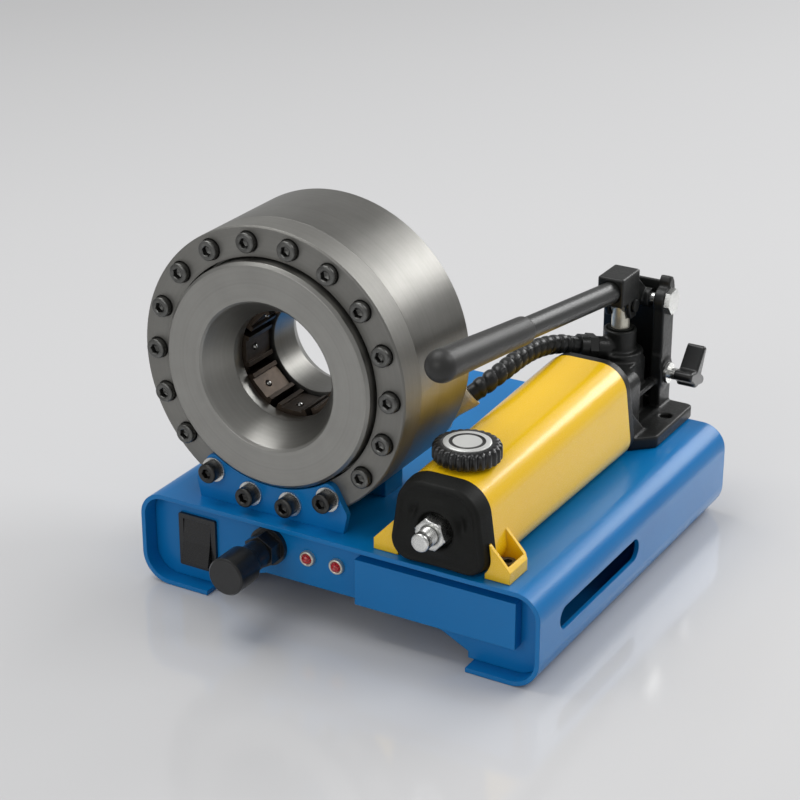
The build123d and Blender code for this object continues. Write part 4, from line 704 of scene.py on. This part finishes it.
def eased_copy(name: str, node: str, voxel: float, passes: int, webs: tuple[Prism, ...] = (),
               pockets: tuple[Prism, ...] = ()) -> bpy.types.Mesh:
    """Copies a CAD node, cuts pockets, adds webs, and rounds its edges by remeshing and smoothing it.

    Args:
        name: name of the mesh.
        node: CAD node to copy.
        voxel: size of a cell.
        passes: rounds of smoothing.
        webs: prisms to add, as outline, lower X and upper X.
        pockets: prisms to cut away, as outline, lower X and upper X.

    Returns:
        The mesh.
    """
    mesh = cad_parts[node].data.copy()
    work = bmesh.new()
    work.from_mesh(mesh)
    bmesh.ops.remove_doubles(work, verts=work.verts, dist=1e-6)
    bmesh.ops.recalc_face_normals(work, faces=work.faces)
    work.to_mesh(mesh)
    work.free()
    holder = placed(f"{name}_holder", mesh)
    helpers = [holder]
    for number, (prisms, operation) in enumerate([(pockets, "DIFFERENCE"), (webs, "UNION")]):
        for outline, left, right in prisms:
            shape = prism(outline, left, right)
            block = bpy.data.meshes.new(f"{name}_block")
            shape.to_mesh(block)
            shape.free()
            helper = placed(f"{name}_block_{number}", block)
            helpers.append(helper)
            change = holder.modifiers.new("change", "BOOLEAN")
            change.operation, change.object, change.solver = operation, helper, "EXACT"
    cells = holder.modifiers.new("cells", "REMESH")
    cells.mode, cells.voxel_size, cells.use_smooth_shade = "VOXEL", voxel, True
    ease = holder.modifiers.new("ease", "SMOOTH")
    ease.factor, ease.iterations = 0.5, passes
    graph = bpy.context.evaluated_depsgraph_get()
    eased = bpy.data.meshes.new_from_object(holder.evaluated_get(graph))
    for helper in helpers:
        bpy.data.objects.remove(helper)
    eased.name = name
    eased.polygons.foreach_set("use_smooth", np.ones(len(eased.polygons), bool))
    return eased


@dataclass
class Studio:
    """Camera, floor and lamps."""

    eye: Point = (0.6527, -1.1762, 0.7063)
    aim: Point = (-0.03526, 0.00529, 0.09590)
    lens: float = 100.73
    floor_half: float = 6.0
    floor_drop: float = 0.0003
    floor_tone: Colour = field(default_factory=lambda: linear(207, 207, 208))
    sky: float = 0.4

    def camera(self) -> None:
        """Sets up the camera, looking from the eye to the aim."""
        data = bpy.data.cameras.new("camera")
        data.lens, data.sensor_width = self.lens, 36.0
        obj = placed("camera", data)
        obj.location = self.eye
        obj.rotation_euler = (Vector(self.aim) - Vector(self.eye)).to_track_quat("-Z", "Y").to_euler()
        bpy.context.scene.camera = obj

    def floor(self) -> None:
        """Lays the pale glossy floor."""
        half = self.floor_half
        corners = np.array([(-half, -half, 0), (half, -half, 0), (half, half, 0), (-half, half, 0)], float)
        corners[:, 2] = -self.floor_drop
        mesh = bpy.data.meshes.new("floor")
        mesh.from_pydata(corners.tolist(), [], [[0, 1, 2, 3]])
        graph = Graph("floor")
        graph.drive("Roughness", graph.spread(graph.noise(graph.place(), 6, 3), 0.09, 0.12))
        graph.set(Base_Color=(*self.floor_tone, 1.0), Specular_IOR_Level=0.8)
        mesh.materials.append(graph.material)
        obj = placed("floor", mesh)

    def lamp(self, name: str, place: Point, aim: Point, size: tuple[float, float], watts: float) -> None:
        """Hangs one rectangular lamp.

        Args:
            name: name of the lamp.
            place: where it hangs.
            aim: what it points at.
            size: width and height of its face.
            watts: its power.
        """
        data = bpy.data.lights.new(name, "AREA")
        data.shape, data.size, data.size_y, data.energy = "RECTANGLE", *size, watts
        obj = placed(name, data)
        obj.location = place
        obj.rotation_euler = (Vector(aim) - Vector(place)).to_track_quat("-Z", "Y").to_euler()

    def light(self) -> None:
        """Fills the world with an even grey and hangs the lamps."""
        world = bpy.data.worlds.new("studio")
        world.use_nodes = True
        back = world.node_tree.nodes["Background"]
        back.inputs["Color"].default_value = (1.0, 1.0, 1.0, 1.0)
        back.inputs["Strength"].default_value = self.sky
        bpy.context.scene.world = world
        centre = (0.0, 0.0, 0.1)
        self.lamp("overhead", (-0.75, 0.0, 1.9), centre, (1.3, 1.3), 20)
        self.lamp("right_top", (1.1, 0.6, 1.6), centre, (0.9, 0.9), 11)
        self.lamp("back_wall", (0.6, 2.2, 1.15), centre, (1.5, 0.8), 24)
        self.lamp("front", (-0.4, -2.5, 1.2), centre, (1.5, 1.2), 13)

    def build(self) -> None:
        """Builds camera, floor and lamps."""
        bpy.context.scene.view_settings.view_transform = "Standard"
        self.camera()
        self.floor()
        self.light()


@dataclass
class PressureHose:
    """Hose from the pump outlet to the port of the head, in a spiral guard."""

    route: tuple[Point, ...] = ((0.0552, 0.0880, 0.1246), (0.0483, 0.0795, 0.1285), (0.0430, 0.0420, 0.1362),
                                (0.0430, -0.0070, 0.1346), (0.0315, -0.0180, 0.1240))
    diameter: float = 0.0132
    length: float = 0.1154
    pitch: float = 0.0084
    groove: float = 0.0015
    sleeve: float = 0.007
    bare: float = 0.0007
    fade: float = 0.003
    end_bare: float = 0.004
    end_fade: float = 0.002
    columns: int = 48

    def centreline(self) -> np.ndarray:
        """Reads the smooth line through the route as Blender makes it, at even steps.

        Returns:
            Points on the centreline, from the pump to the head.
        """
        curve = bpy.data.curves.new("hose_route", "CURVE")
        curve.dimensions, curve.resolution_u = "3D", 48
        spline = curve.splines.new("NURBS")
        spline.points.add(len(self.route) - 1)
        spline.points.foreach_set("co", np.array([(*point, 1.0) for point in self.route]).ravel())
        spline.order_u = 3
        spline.use_endpoint_u = True
        holder = placed("hose_route", curve)
        graph = bpy.context.evaluated_depsgraph_get()
        line = bpy.data.meshes.new_from_object(holder.evaluated_get(graph))
        points = np.zeros(len(line.vertices) * 3)
        line.vertices.foreach_get("co", points)
        points = points.reshape(-1, 3)
        bpy.data.objects.remove(holder)
        bpy.data.meshes.remove(line)
        run = np.concatenate([[0], np.cumsum(np.linalg.norm(np.diff(points, axis=0), axis=1))])
        steps = np.linspace(0, run[-1], int(run[-1] / self.pitch * 24))
        return np.stack([np.interp(steps, run, points[:, axis]) for axis in range(3)], -1)

    def build(self, shelf: Shelf) -> None:
        """Builds the hose: a ring of points at each step of the line, its radius drawn in along a helix.

        Args:
            shelf: the finishes.
        """
        line = self.centreline()
        run = np.concatenate([[0], np.cumsum(np.linalg.norm(np.diff(line, axis=0), axis=1))])
        ahead = np.gradient(line, axis=0)
        ahead /= np.linalg.norm(ahead, axis=1)[:, None]
        side = np.cross(ahead, (0.0, 0.0, 1.0))
        side /= np.linalg.norm(side, axis=1)[:, None]
        up = np.cross(side, ahead)
        angle = turns(self.columns)
        phase = np.mod(run[:, None] / self.pitch - angle[None, :] / (2 * pi), 1.0)
        cut = self.groove * np.abs(2 * phase - 1) ** 3
        guard = np.clip((run - self.sleeve) / self.fade, 0, 1)
        guard = guard * np.clip((run[-1] - self.end_bare - run) / self.end_fade, 0, 1)
        radius = self.diameter / 2 - np.where(guard[:, None] > 0, cut * guard[:, None], 0)
        radius -= self.bare * (1 - guard[:, None])
        spoke = np.cos(angle)[None, :, None] * side[:, None] + np.sin(angle)[None, :, None] * up[:, None]
        tube = closed_mesh("pressure_hose", skin(line[:, None] + radius[..., None] * spoke), 60)
        piece = shelf.piece("pressure_hose", tube, Finish.HOSE_BLACK, "machine", "hose")
        shelf.dress(Finish.BLACK_STEEL, "hose_swivel")
        shelf.dress(Finish.BRASS, "hose_fitting")
        shelf.dress(Finish.ZINC, "head_port")


@dataclass
class BaseCabinet:
    """Folded sheet base with its end panels and the accessory drawer."""

    painted: tuple[str, ...] = ("base_shell", "front_panel", "rear_panel", "drawer", "head_bracket",
                                "saddle_blocks")

    def build(self, shelf: Shelf) -> None:
        """Dresses the sheet metal."""
        shelf.dress(Finish.BLUE_PAINT, *self.painted)
        shelf.dress(Finish.ZINC, "drawer_rails")


@dataclass
class ControlPanel:
    """Switch, lamps and adjuster on the front panel."""

    face: float = -0.1286
    lamp_x: tuple[float, float] = (-0.0240, -0.0025)
    lamp_z: float = 0.0415

    def lamps(self, shelf: Shelf) -> None:
        """Builds a rounded bright bezel and a domed lens for each lamp."""
        rims, domes = [], []
        for x in self.lamp_x:
            axis = Axis((x, self.face, self.lamp_z), (0, -1, 0), (1, 0, 0))
            turn = np.linspace(0, pi, 13)
            edge = np.stack([4.25 + 0.95 * np.cos(turn), 1.9 + 1.0 * np.sin(turn)], -1)
            rim = np.array([(3.9, -8), (3.9, 0), (5.2, 0), *edge.tolist(), (3.3, -0.5), (0.4, -0.6)]) / 1000
            rims.append(axis.rings(rim[:, 0], rim[:, 1], 64))
            lift = np.radians(np.linspace(0, 86, 9))
            arch = np.stack([3.25 * np.cos(lift), 2.6 + 2.6 * np.sin(lift)], -1)
            dome = np.array([(0.3, -0.5), (3.25, -0.5), *arch.tolist()]) / 1000
            domes.append(axis.rings(dome[:, 0], dome[:, 1], 24))
        rims, domes = closed_mesh("lamp_rims", merged(rims)), closed_mesh("lamp_domes", merged(domes))
        shelf.piece("lamp_rims", rims, Finish.CHROME, "machine", "lamp_bezels")
        shelf.piece("lamp_domes", domes, Finish.RED_LENS, "machine", "lamp_lenses")

    def build(self, shelf: Shelf) -> None:
        """Dresses the controls."""
        self.lamps(shelf)
        shelf.dress(Finish.BLACK_PLASTIC, "switch_bezel", "adjuster_bush", "adjuster_knob")
        shelf.dress(Finish.ROCKER_BLACK, "switch_rocker")
        shelf.dress(Finish.ZINC, "adjuster_nut", "adjuster_spindle")


@dataclass
class CrimpingHead:
    """Ring-shaped head with its screws, piston and dies."""

    screw_circle: float = 0.085
    screw_count: int = 18
    bracket_screws: tuple[int, ...] = (12, 13, 14, 15)
    ring_face: float = -0.1226
    proud: float = 0.0046
    bracket_proud: float = 0.0140
    ball_circle: float = 0.0332
    ball_y: float = -0.0913
    ball_r: float = 1.75
    socket_flats: float = 0.006
    knurls: int = 32
    knurl_depth: float = 0.00013
    columns: int = 96

    def screw_rings(self, index: int) -> np.ndarray:
        """Rings of one socket-head screw: knurled side, rounded rim and a hexagonal socket.

        Args:
            index: place on the screw circle, counted from the right.

        Returns:
            Points, indexed by ring, column and coordinate.
        """
        turn = 2 * pi * index / self.screw_count
        proud = self.bracket_proud if index in self.bracket_screws else self.proud
        x, z = HEAD_AXIS[0] + self.screw_circle * cos(turn), HEAD_AXIS[2] + self.screw_circle * sin(turn)
        axis = Axis((x, self.ring_face - proud, z), (0, 1, 0), (1, 0, 0))
        rows = np.array([(0.5, 8.0), (6.4, 8.0), (6.5, 7.7), (6.5, 1.5), (6.5, 1.1), (6.3, 0.55), (5.9, 0.2),
                         (5.3, 0.03), (4.5, 0.0), (3.9, 0.0), (3.55, 0.12), (3.2, 0.5), (3.2, 3.9),
                         (0.3, 5.0)]) / 1000
        radius = np.repeat(rows[:, :1], self.columns, axis=1)
        angle = turns(self.columns)
        radius[2:4] -= self.knurl_depth * (0.5 + 0.5 * np.cos(self.knurls * angle))
        radius[-3:-1] = hexagon_radius(self.columns, self.socket_flats, 17.0 * index)
        return axis.rings(radius, rows[:, 1], self.columns)

    def screws(self, name: str, indices: list[int], node: str, finish: Finish, shelf: Shelf) -> None:
        """Builds one group of screws.

        Args:
            name: name of the piece.
            indices: places on the screw circle.
            node: CAD node that the group stands for.
            finish: the finish of the group.
            shelf: the finishes.
        """
        group = merged([self.screw_rings(index) for index in indices])
        shelf.piece(name, closed_mesh(name, group, 35), finish, "machine", node)

    def balls(self, shelf: Shelf) -> None:
        """Builds the ball catch of each die: a half circle turned about the die's spoke."""
        for number in range(DIE_COUNT):
            turn = 2 * pi / DIE_COUNT * number
            spoke = (cos(turn), 0.0, sin(turn))
            centre = (HEAD_AXIS[0] + self.ball_circle * spoke[0], self.ball_y,
                      HEAD_AXIS[2] + self.ball_circle * spoke[2])
            sweep = np.radians(np.linspace(-82, 82, 13))
            profile = np.stack([self.ball_r * np.cos(sweep), self.ball_r * np.sin(sweep)], -1)
            name = f"die_ball_{number + 1}"
            mesh = turned_mesh(name, Axis(centre, spoke, (0, 1, 0)), profile.tolist(), 24)
            shelf.piece(name, mesh, Finish.ZINC, f"die_{number + 1}")

    def build(self, shelf: Shelf) -> None:
        """Dresses the head and builds its screws and the dies' balls."""
        shelf.dress(Finish.HEAD_STEEL, "head_housing", "annular_piston")
        shelf.dress(Finish.RING_STEEL, "front_ring")
        shelf.dress(Finish.DISC_STEEL, "front_disc")
        shelf.dress(Finish.RUBBER, "piston_outer_seal", "piston_inner_seal")
        shelf.dress(Finish.DIE_STEEL, *[f"master_die_{number}" for number in range(1, DIE_COUNT + 1)])
        shelf.dress(Finish.ZINC, "bracket_washers")
        others = [index for index in range(self.screw_count) if index not in self.bracket_screws]
        self.screws("ring_screws", others, "cover_screws", Finish.BLACK_SCREW, shelf)
        self.screws("bracket_bolts", list(self.bracket_screws), "bracket_screws", Finish.BRACKET_BOLT, shelf)
        self.balls(shelf)


@dataclass
class Reservoir:
    """Yellow oil reservoir with its boot, tie rod, filler cap and lug screws."""

    axis_x: float = 0.0743
    floor_z: float = 0.0643
    tie_z: float = 0.0918
    half_low: float = 0.0356
    half_top: float = 0.0276
    low_r: float = 0.0136
    top_r: float = 0.0206
    bottom: float = -0.0001
    top: float = 0.0581
    boot_front: float = -0.1410
    seat_r: float = 0.0116
    cap_y: float = -0.1023
    cap_base: float = 0.1237
    cap_ribs: int = 26
    rib_depth: float = 0.0016
    tie_front: float = -0.1605
    tie_r: float = 0.0060
    thread_start: float = 0.0030
    nut_front: float = -0.1490
    nut_flats: float = 0.0186

    def outline(self, columns: int) -> np.ndarray:
        """Rounded trapezoid: corner arcs joined by straight sides, at even angles seen from the tie rod.

        Args:
            columns: points on the outline.

        Returns:
            X and Z of each point, from the tie rod.
        """
        low, top, height = self.half_low, self.half_top, self.top - self.bottom
        corners = np.array([(-low, 0.0), (low, 0.0), (top, height), (-top, height)])
        radii = (self.low_r, self.low_r, self.top_r, self.top_r)
        points = []
        for number, radius in enumerate(radii):
            corner = corners[number]
            before, after = corners[number - 1] - corner, corners[(number + 1) % 4] - corner
            before, after = before / np.linalg.norm(before), after / np.linalg.norm(after)
            half = np.arccos(np.clip(before @ after, -1, 1)) / 2
            middle = corner + (before + after) / np.linalg.norm(before + after) * radius / sin(half)
            start = corner + before * radius / np.tan(half) - middle
            stop = corner + after * radius / np.tan(half) - middle
            first, last = np.arctan2(start[1], start[0]), np.arctan2(stop[1], stop[0])
            sweep = np.linspace(first, first + np.mod(last - first, 2 * pi), 24)
            points.append(middle + radius * np.stack([np.cos(sweep), np.sin(sweep)], -1))
        path = np.concatenate(points) + (0.0, self.floor_z + self.bottom - self.tie_z)
        share = np.linspace(0, 1, 20, endpoint=False)[None, :, None]
        path = (path[:, None] * (1 - share) + np.roll(path, -1, 0)[:, None] * share).reshape(-1, 2)
        angle = np.unwrap(np.arctan2(path[:, 1], path[:, 0]))
        reach = np.linalg.norm(path, axis=1)
        even = angle[0] + turns(columns)
        reach = np.interp(even, np.append(angle, angle[0] + 2 * pi), np.append(reach, reach[0]))
        return np.stack([reach * np.cos(even), reach * np.sin(even)], -1)

    def boot(self, shelf: Shelf) -> None:
        """Builds the rubber boot: its outline is drawn in, rounded over, then drawn in to the nut's seat."""
        columns = 240
        outline = self.outline(columns)
        reach = np.linalg.norm(outline, axis=1)
        angle = np.arctan2(outline[:, 1], outline[:, 0])
        turn = np.linspace(0, pi / 2, 8)
        side = np.array([(0.0, 14.5), (0.3, 11.0), (1.2, 6.0), (1.6, 4.2)])
        edge = np.stack([1.6 + 3.0 * (1 - np.cos(turn)), 4.2 - 3.0 * np.sin(turn)], -1)[1:]
        rim = np.concatenate([side, edge, [(5.4, 1.35), (6.2, 1.7), (7.0, 1.9)]]) / 1000
        across = np.linspace(0, 1, 26)[1:]
        start = reach - rim[-1, 0]
        seat = self.seat_r + 0.0026
        radius = np.concatenate([reach - rim[:, :1], start + (seat - start) * across[:, None]])
        rise = 0.0026 * across[:, None] ** 1.4
        places = ((2.62, 0.30, 0.0030), (0.42, 0.30, 0.0030), (1.5, 0.3, -0.0004))
        dents = sum(deep * np.exp(-((np.mod(angle - place + pi, 2 * pi) - pi) / wide) ** 2)
                    for place, wide, deep in places)
        hollow = dents[None, :] * (np.sin(pi * across[:, None] ** 1.8) ** 2)
        depth = np.concatenate([np.repeat(rim[:, 1:], columns, 1), 0.0019 - rise + hollow])
        collar = np.array([(2.2, -0.9), (1.6, -0.95), (1.0, -0.7), (0.4, 0.0), (0.0, 0.9), (-0.3, 1.8),
                           (-0.9, 2.4), (-2.0, 2.6), (-8.0, 2.6)]) / 1000
        radius = np.concatenate([radius, np.repeat(self.seat_r + collar[:, :1], columns, 1)])
        depth = np.concatenate([depth, np.repeat(collar[:, 1:], columns, 1)])
        spoke = np.stack([np.cos(angle), np.zeros(columns), np.sin(angle)], -1)
        rings = radius[..., None] * spoke + (self.boot_front + depth)[..., None] * np.array([0.0, 1.0, 0.0])
        rings += (self.axis_x, 0.0, self.tie_z)
        back = rings[:1].copy()
        back[..., 0::2] = (self.axis_x, self.tie_z) + (back[..., 0::2] - (self.axis_x, self.tie_z)) * 0.3
        closed = skin(np.concatenate([back, rings]))
        shelf.piece("boot", closed_mesh("boot", closed, 50), Finish.RUBBER, "machine", "end_boot")

    def tie(self, shelf: Shelf) -> None:
        """Builds the threaded rod, its radius drawn in along a helix, and the chamfered hexagon nut."""
        axis = Axis((self.axis_x, self.tie_front, self.tie_z), (0, 1, 0), (0, 0, 1))
        columns, pitch = 72, 0.00175
        angle = turns(columns)
        turn = np.linspace(0.2, pi / 2, 6)
        dome = np.stack([4.9 + 1.1 * np.sin(turn), 1.4 * (1 - np.cos(turn))], -1) / 1000
        run = np.arange(self.thread_start, 0.0240, pitch / 10)
        height = np.concatenate([[0.0], dome[:, 1], run, [0.0246, 0.2268]])
        phase = np.mod(run[:, None] / pitch - angle[None, :] / (2 * pi), 1.0)
        lead = np.clip((run[:, None] - self.thread_start) / 0.0040, 0, 1)
        thread = self.tie_r - 0.0007 * np.abs(2 * phase - 1) * lead
        cap = np.repeat(np.append(0.0035, dome[:, 0])[:, None], columns, 1)
        radius = np.concatenate([cap, thread, np.full((2, columns), self.tie_r)])
        rod = closed_mesh("threaded_tie_rod", skin(axis.rings(radius, height, columns)), 50)
        shelf.piece("threaded_tie_rod", rod, Finish.ZINC, "machine", "tie_rod")
        nut_axis = Axis((self.axis_x, self.nut_front, self.tie_z), (0, 1, 0), (0, 0, 1))
        rise = np.array([1.6, 0.3, 0.0, 0.15, 0.6, 1.3, 2.2, 11.0, 12.0, 12.0]) / 1000
        cone = np.array([6.1, 6.4, 7.2, 8.9, 9.8, 10.6, 11.6, 11.6, 10.4, 6.1]) / 1000
        radius = np.minimum(cone[:, None], hexagon_radius(144, self.nut_flats, 12.0)[None, :])
        nut = closed_mesh("tie_rod_nut", skin(nut_axis.rings(radius, rise, 144)), 30)
        shelf.piece("tie_rod_nut", nut, Finish.ZINC, "machine", "tie_nut")

    def cap(self, shelf: Shelf) -> None:
        """Builds the ribbed cap, its rim drawn in by a sharpened cosine of the angle, and its plate."""
        columns = 16 * self.cap_ribs
        axis = Axis((self.axis_x, self.cap_y, self.cap_base), (0, 0, 1), (1, 0, 0))
        rows = np.array([(6.3, -3.5), (6.3, 0.0), (18.6, 0.0), (20.6, 0.4), (21.4, 1.3), (21.6, 2.4),
                         (21.6, 7.2), (21.4, 8.4), (20.8, 9.5), (19.8, 10.3), (18.4, 10.7), (16.0, 10.9),
                         (15.4, 10.8), (15.2, 10.3), (4.0, 10.3)]) / 1000
        angle = turns(columns)
        notch = (0.5 + 0.5 * np.cos(self.cap_ribs * angle)) ** 1.6
        weight = np.array([0, 0, 0.4, 0.8, 1, 1, 1, 1, 0.95, 0.7, 0.25, 0, 0, 0, 0])
        radius = rows[:, :1] - self.rib_depth * weight[:, None] * notch[None, :]
        cap = closed_mesh("ribbed_cap", skin(axis.rings(radius, rows[:, 1], columns)), 45)
        shelf.piece("ribbed_cap", cap, Finish.BLACK_PLASTIC, "cap", "filler_cap")
        profile = [(2.0, 10.3), (14.6, 10.3), (14.9, 10.5), (14.9, 11.1), (14.6, 11.3), (11.0, 11.35),
                   (10.8, 10.9), (9.2, 10.9), (9.0, 11.35), (3.0, 11.4)]
        plate = turned_mesh("cap_plate", axis, profile, 128)
        shelf.piece("cap_plate", plate, Finish.CAP_PLATE, "cap", "filler_cap_disc")

    def build(self, shelf: Shelf) -> None:
        """Dresses the reservoir and builds boot, rod, nut and cap."""
        shelf.dress(Finish.YELLOW_PAINT, "pump_reservoir")
        shelf.dress(Finish.RUBBER, "oil_bladder")
        shelf.dress(Finish.BLACK_SCREW, "lug_screws", "foot_screws")
        self.boot(shelf)
        self.tie(shelf)
        self.cap(shelf)


@dataclass
class PumpHead:
    """Cast pump head with gland, plunger, pivot bolt and release valve."""

    voxel: float = 0.0009
    passes: int = 4
    handle_voxel: float = 0.0004
    handle_passes: int = 3
    recess_front: float = 96.0
    recess_back: float = 127.8
    recess_floor: float = 73.4
    recess_top: float = 114.0
    rib_z: float = 90.0

    def build(self, shelf: Shelf) -> None:
        """Builds the casting with eased edges and dresses what it carries."""
        pocket = [(self.recess_front, self.recess_floor), (self.recess_back, self.recess_floor),
                  (self.recess_back, self.recess_top), (self.recess_front, self.recess_top)]
        rib = [(self.recess_front - 2, self.rib_z), (self.recess_back + 2, self.rib_z),
               (self.recess_back + 2, self.rib_z + 3.5), (self.recess_front - 2, self.rib_z + 3.5)]
        gusset = [(70.0, 70.0), (self.recess_front, 70.0), (72.0, 92.0)]
        webs = ((rib, 89.0, 96.5), (rib, 52.0, 60.0), (gusset, 101.5, 105.0), (gusset, 43.6, 47.1))
        pockets = ((pocket, 90.5, 112.0), (pocket, 36.0, 58.0))
        casting = eased_copy("pump_casting", "pump_head", self.voxel, self.passes, webs, pockets)
        shelf.piece("pump_casting", casting, Finish.BLACK_CASTING, "machine", "pump_head")
        handle = eased_copy("release_handle", "release_knob", self.handle_voxel, self.handle_passes)
        shelf.piece("release_handle", handle, Finish.BLACK_PLASTIC, "release", "release_knob")
        shelf.dress(Finish.CHROME, "plunger")
        shelf.dress(Finish.RUBBER, "gland_ring")
        shelf.dress(Finish.BLACK_STEEL, "plunger_pin")
        shelf.dress(Finish.ZINC, "ear_bolt", "release_stem")


@dataclass
class PumpLever:
    """Beam, tube and grip of the pump lever."""

    start: Point = (0.0743, 0.10094, 0.16321)
    rise: float = 8.0
    grip_start: float = 133.0
    grip_end: float = 248.3
    sleeve_r: float = 9.1
    ball_r: float = 10.3
    beam_voxel: float = 0.0005
    beam_passes: int = 3

    def grip(self, shelf: Shelf) -> None:
        """Builds the moulded grip: a slender sleeve that swells to its ball end, with a rolled mouth."""
        axis = Axis(self.start, (0, -cos(radians(self.rise)), sin(radians(self.rise))), (1, 0, 0))
        first, last = self.grip_start, self.grip_end
        mouth = [(6.0, first + 6), (7.4, first + 6), (7.5, first), (8.1, first + 0.1), (8.7, first + 0.6),
                 (9.0, first + 1.5), (self.sleeve_r, first + 3.0)]
        centre, swell = last - self.ball_r, self.ball_r - self.sleeve_r
        body = [(self.sleeve_r + swell * share ** 1.4, first + 3 + share * (centre - 3 - first))
                for share in np.linspace(0.1, 1, 10)]
        ball = [(self.ball_r * cos(turn), centre + self.ball_r * sin(turn))
                for turn in np.radians(np.linspace(6, 87, 14))]
        grip = turned_mesh("hand_grip", axis, [*mouth, *body, *ball], 96)
        shelf.piece("hand_grip", grip, Finish.GRIP_BLACK, "beam", "lever_grip")

    def build(self, shelf: Shelf) -> None:
        """Builds the beam and the grip and dresses the tube."""
        beam = eased_copy("lever_beam", "lever_block", self.beam_voxel, self.beam_passes)
        shelf.piece("lever_beam", beam, Finish.BLACK_CASTING, "beam", "lever_block")
        shelf.dress(Finish.BLACK_STEEL, "lever_tube")
        self.grip(shelf)


def main() -> None:
    """Builds the studio and then each sub-assembly, and reports them."""
    logging.basicConfig(level=logging.INFO, format="%(name)s %(message)s")
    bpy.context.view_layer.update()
    Studio().build()
    shelf = Shelf()
    for assembly in (PressureHose(), BaseCabinet(), ControlPanel(), CrimpingHead(), Reservoir(), PumpHead(),
                     PumpLever()):
        assembly.build(shelf)
        LOG.info("%s is built", type(assembly).__name__)


if __name__ == "__main__":
    main()
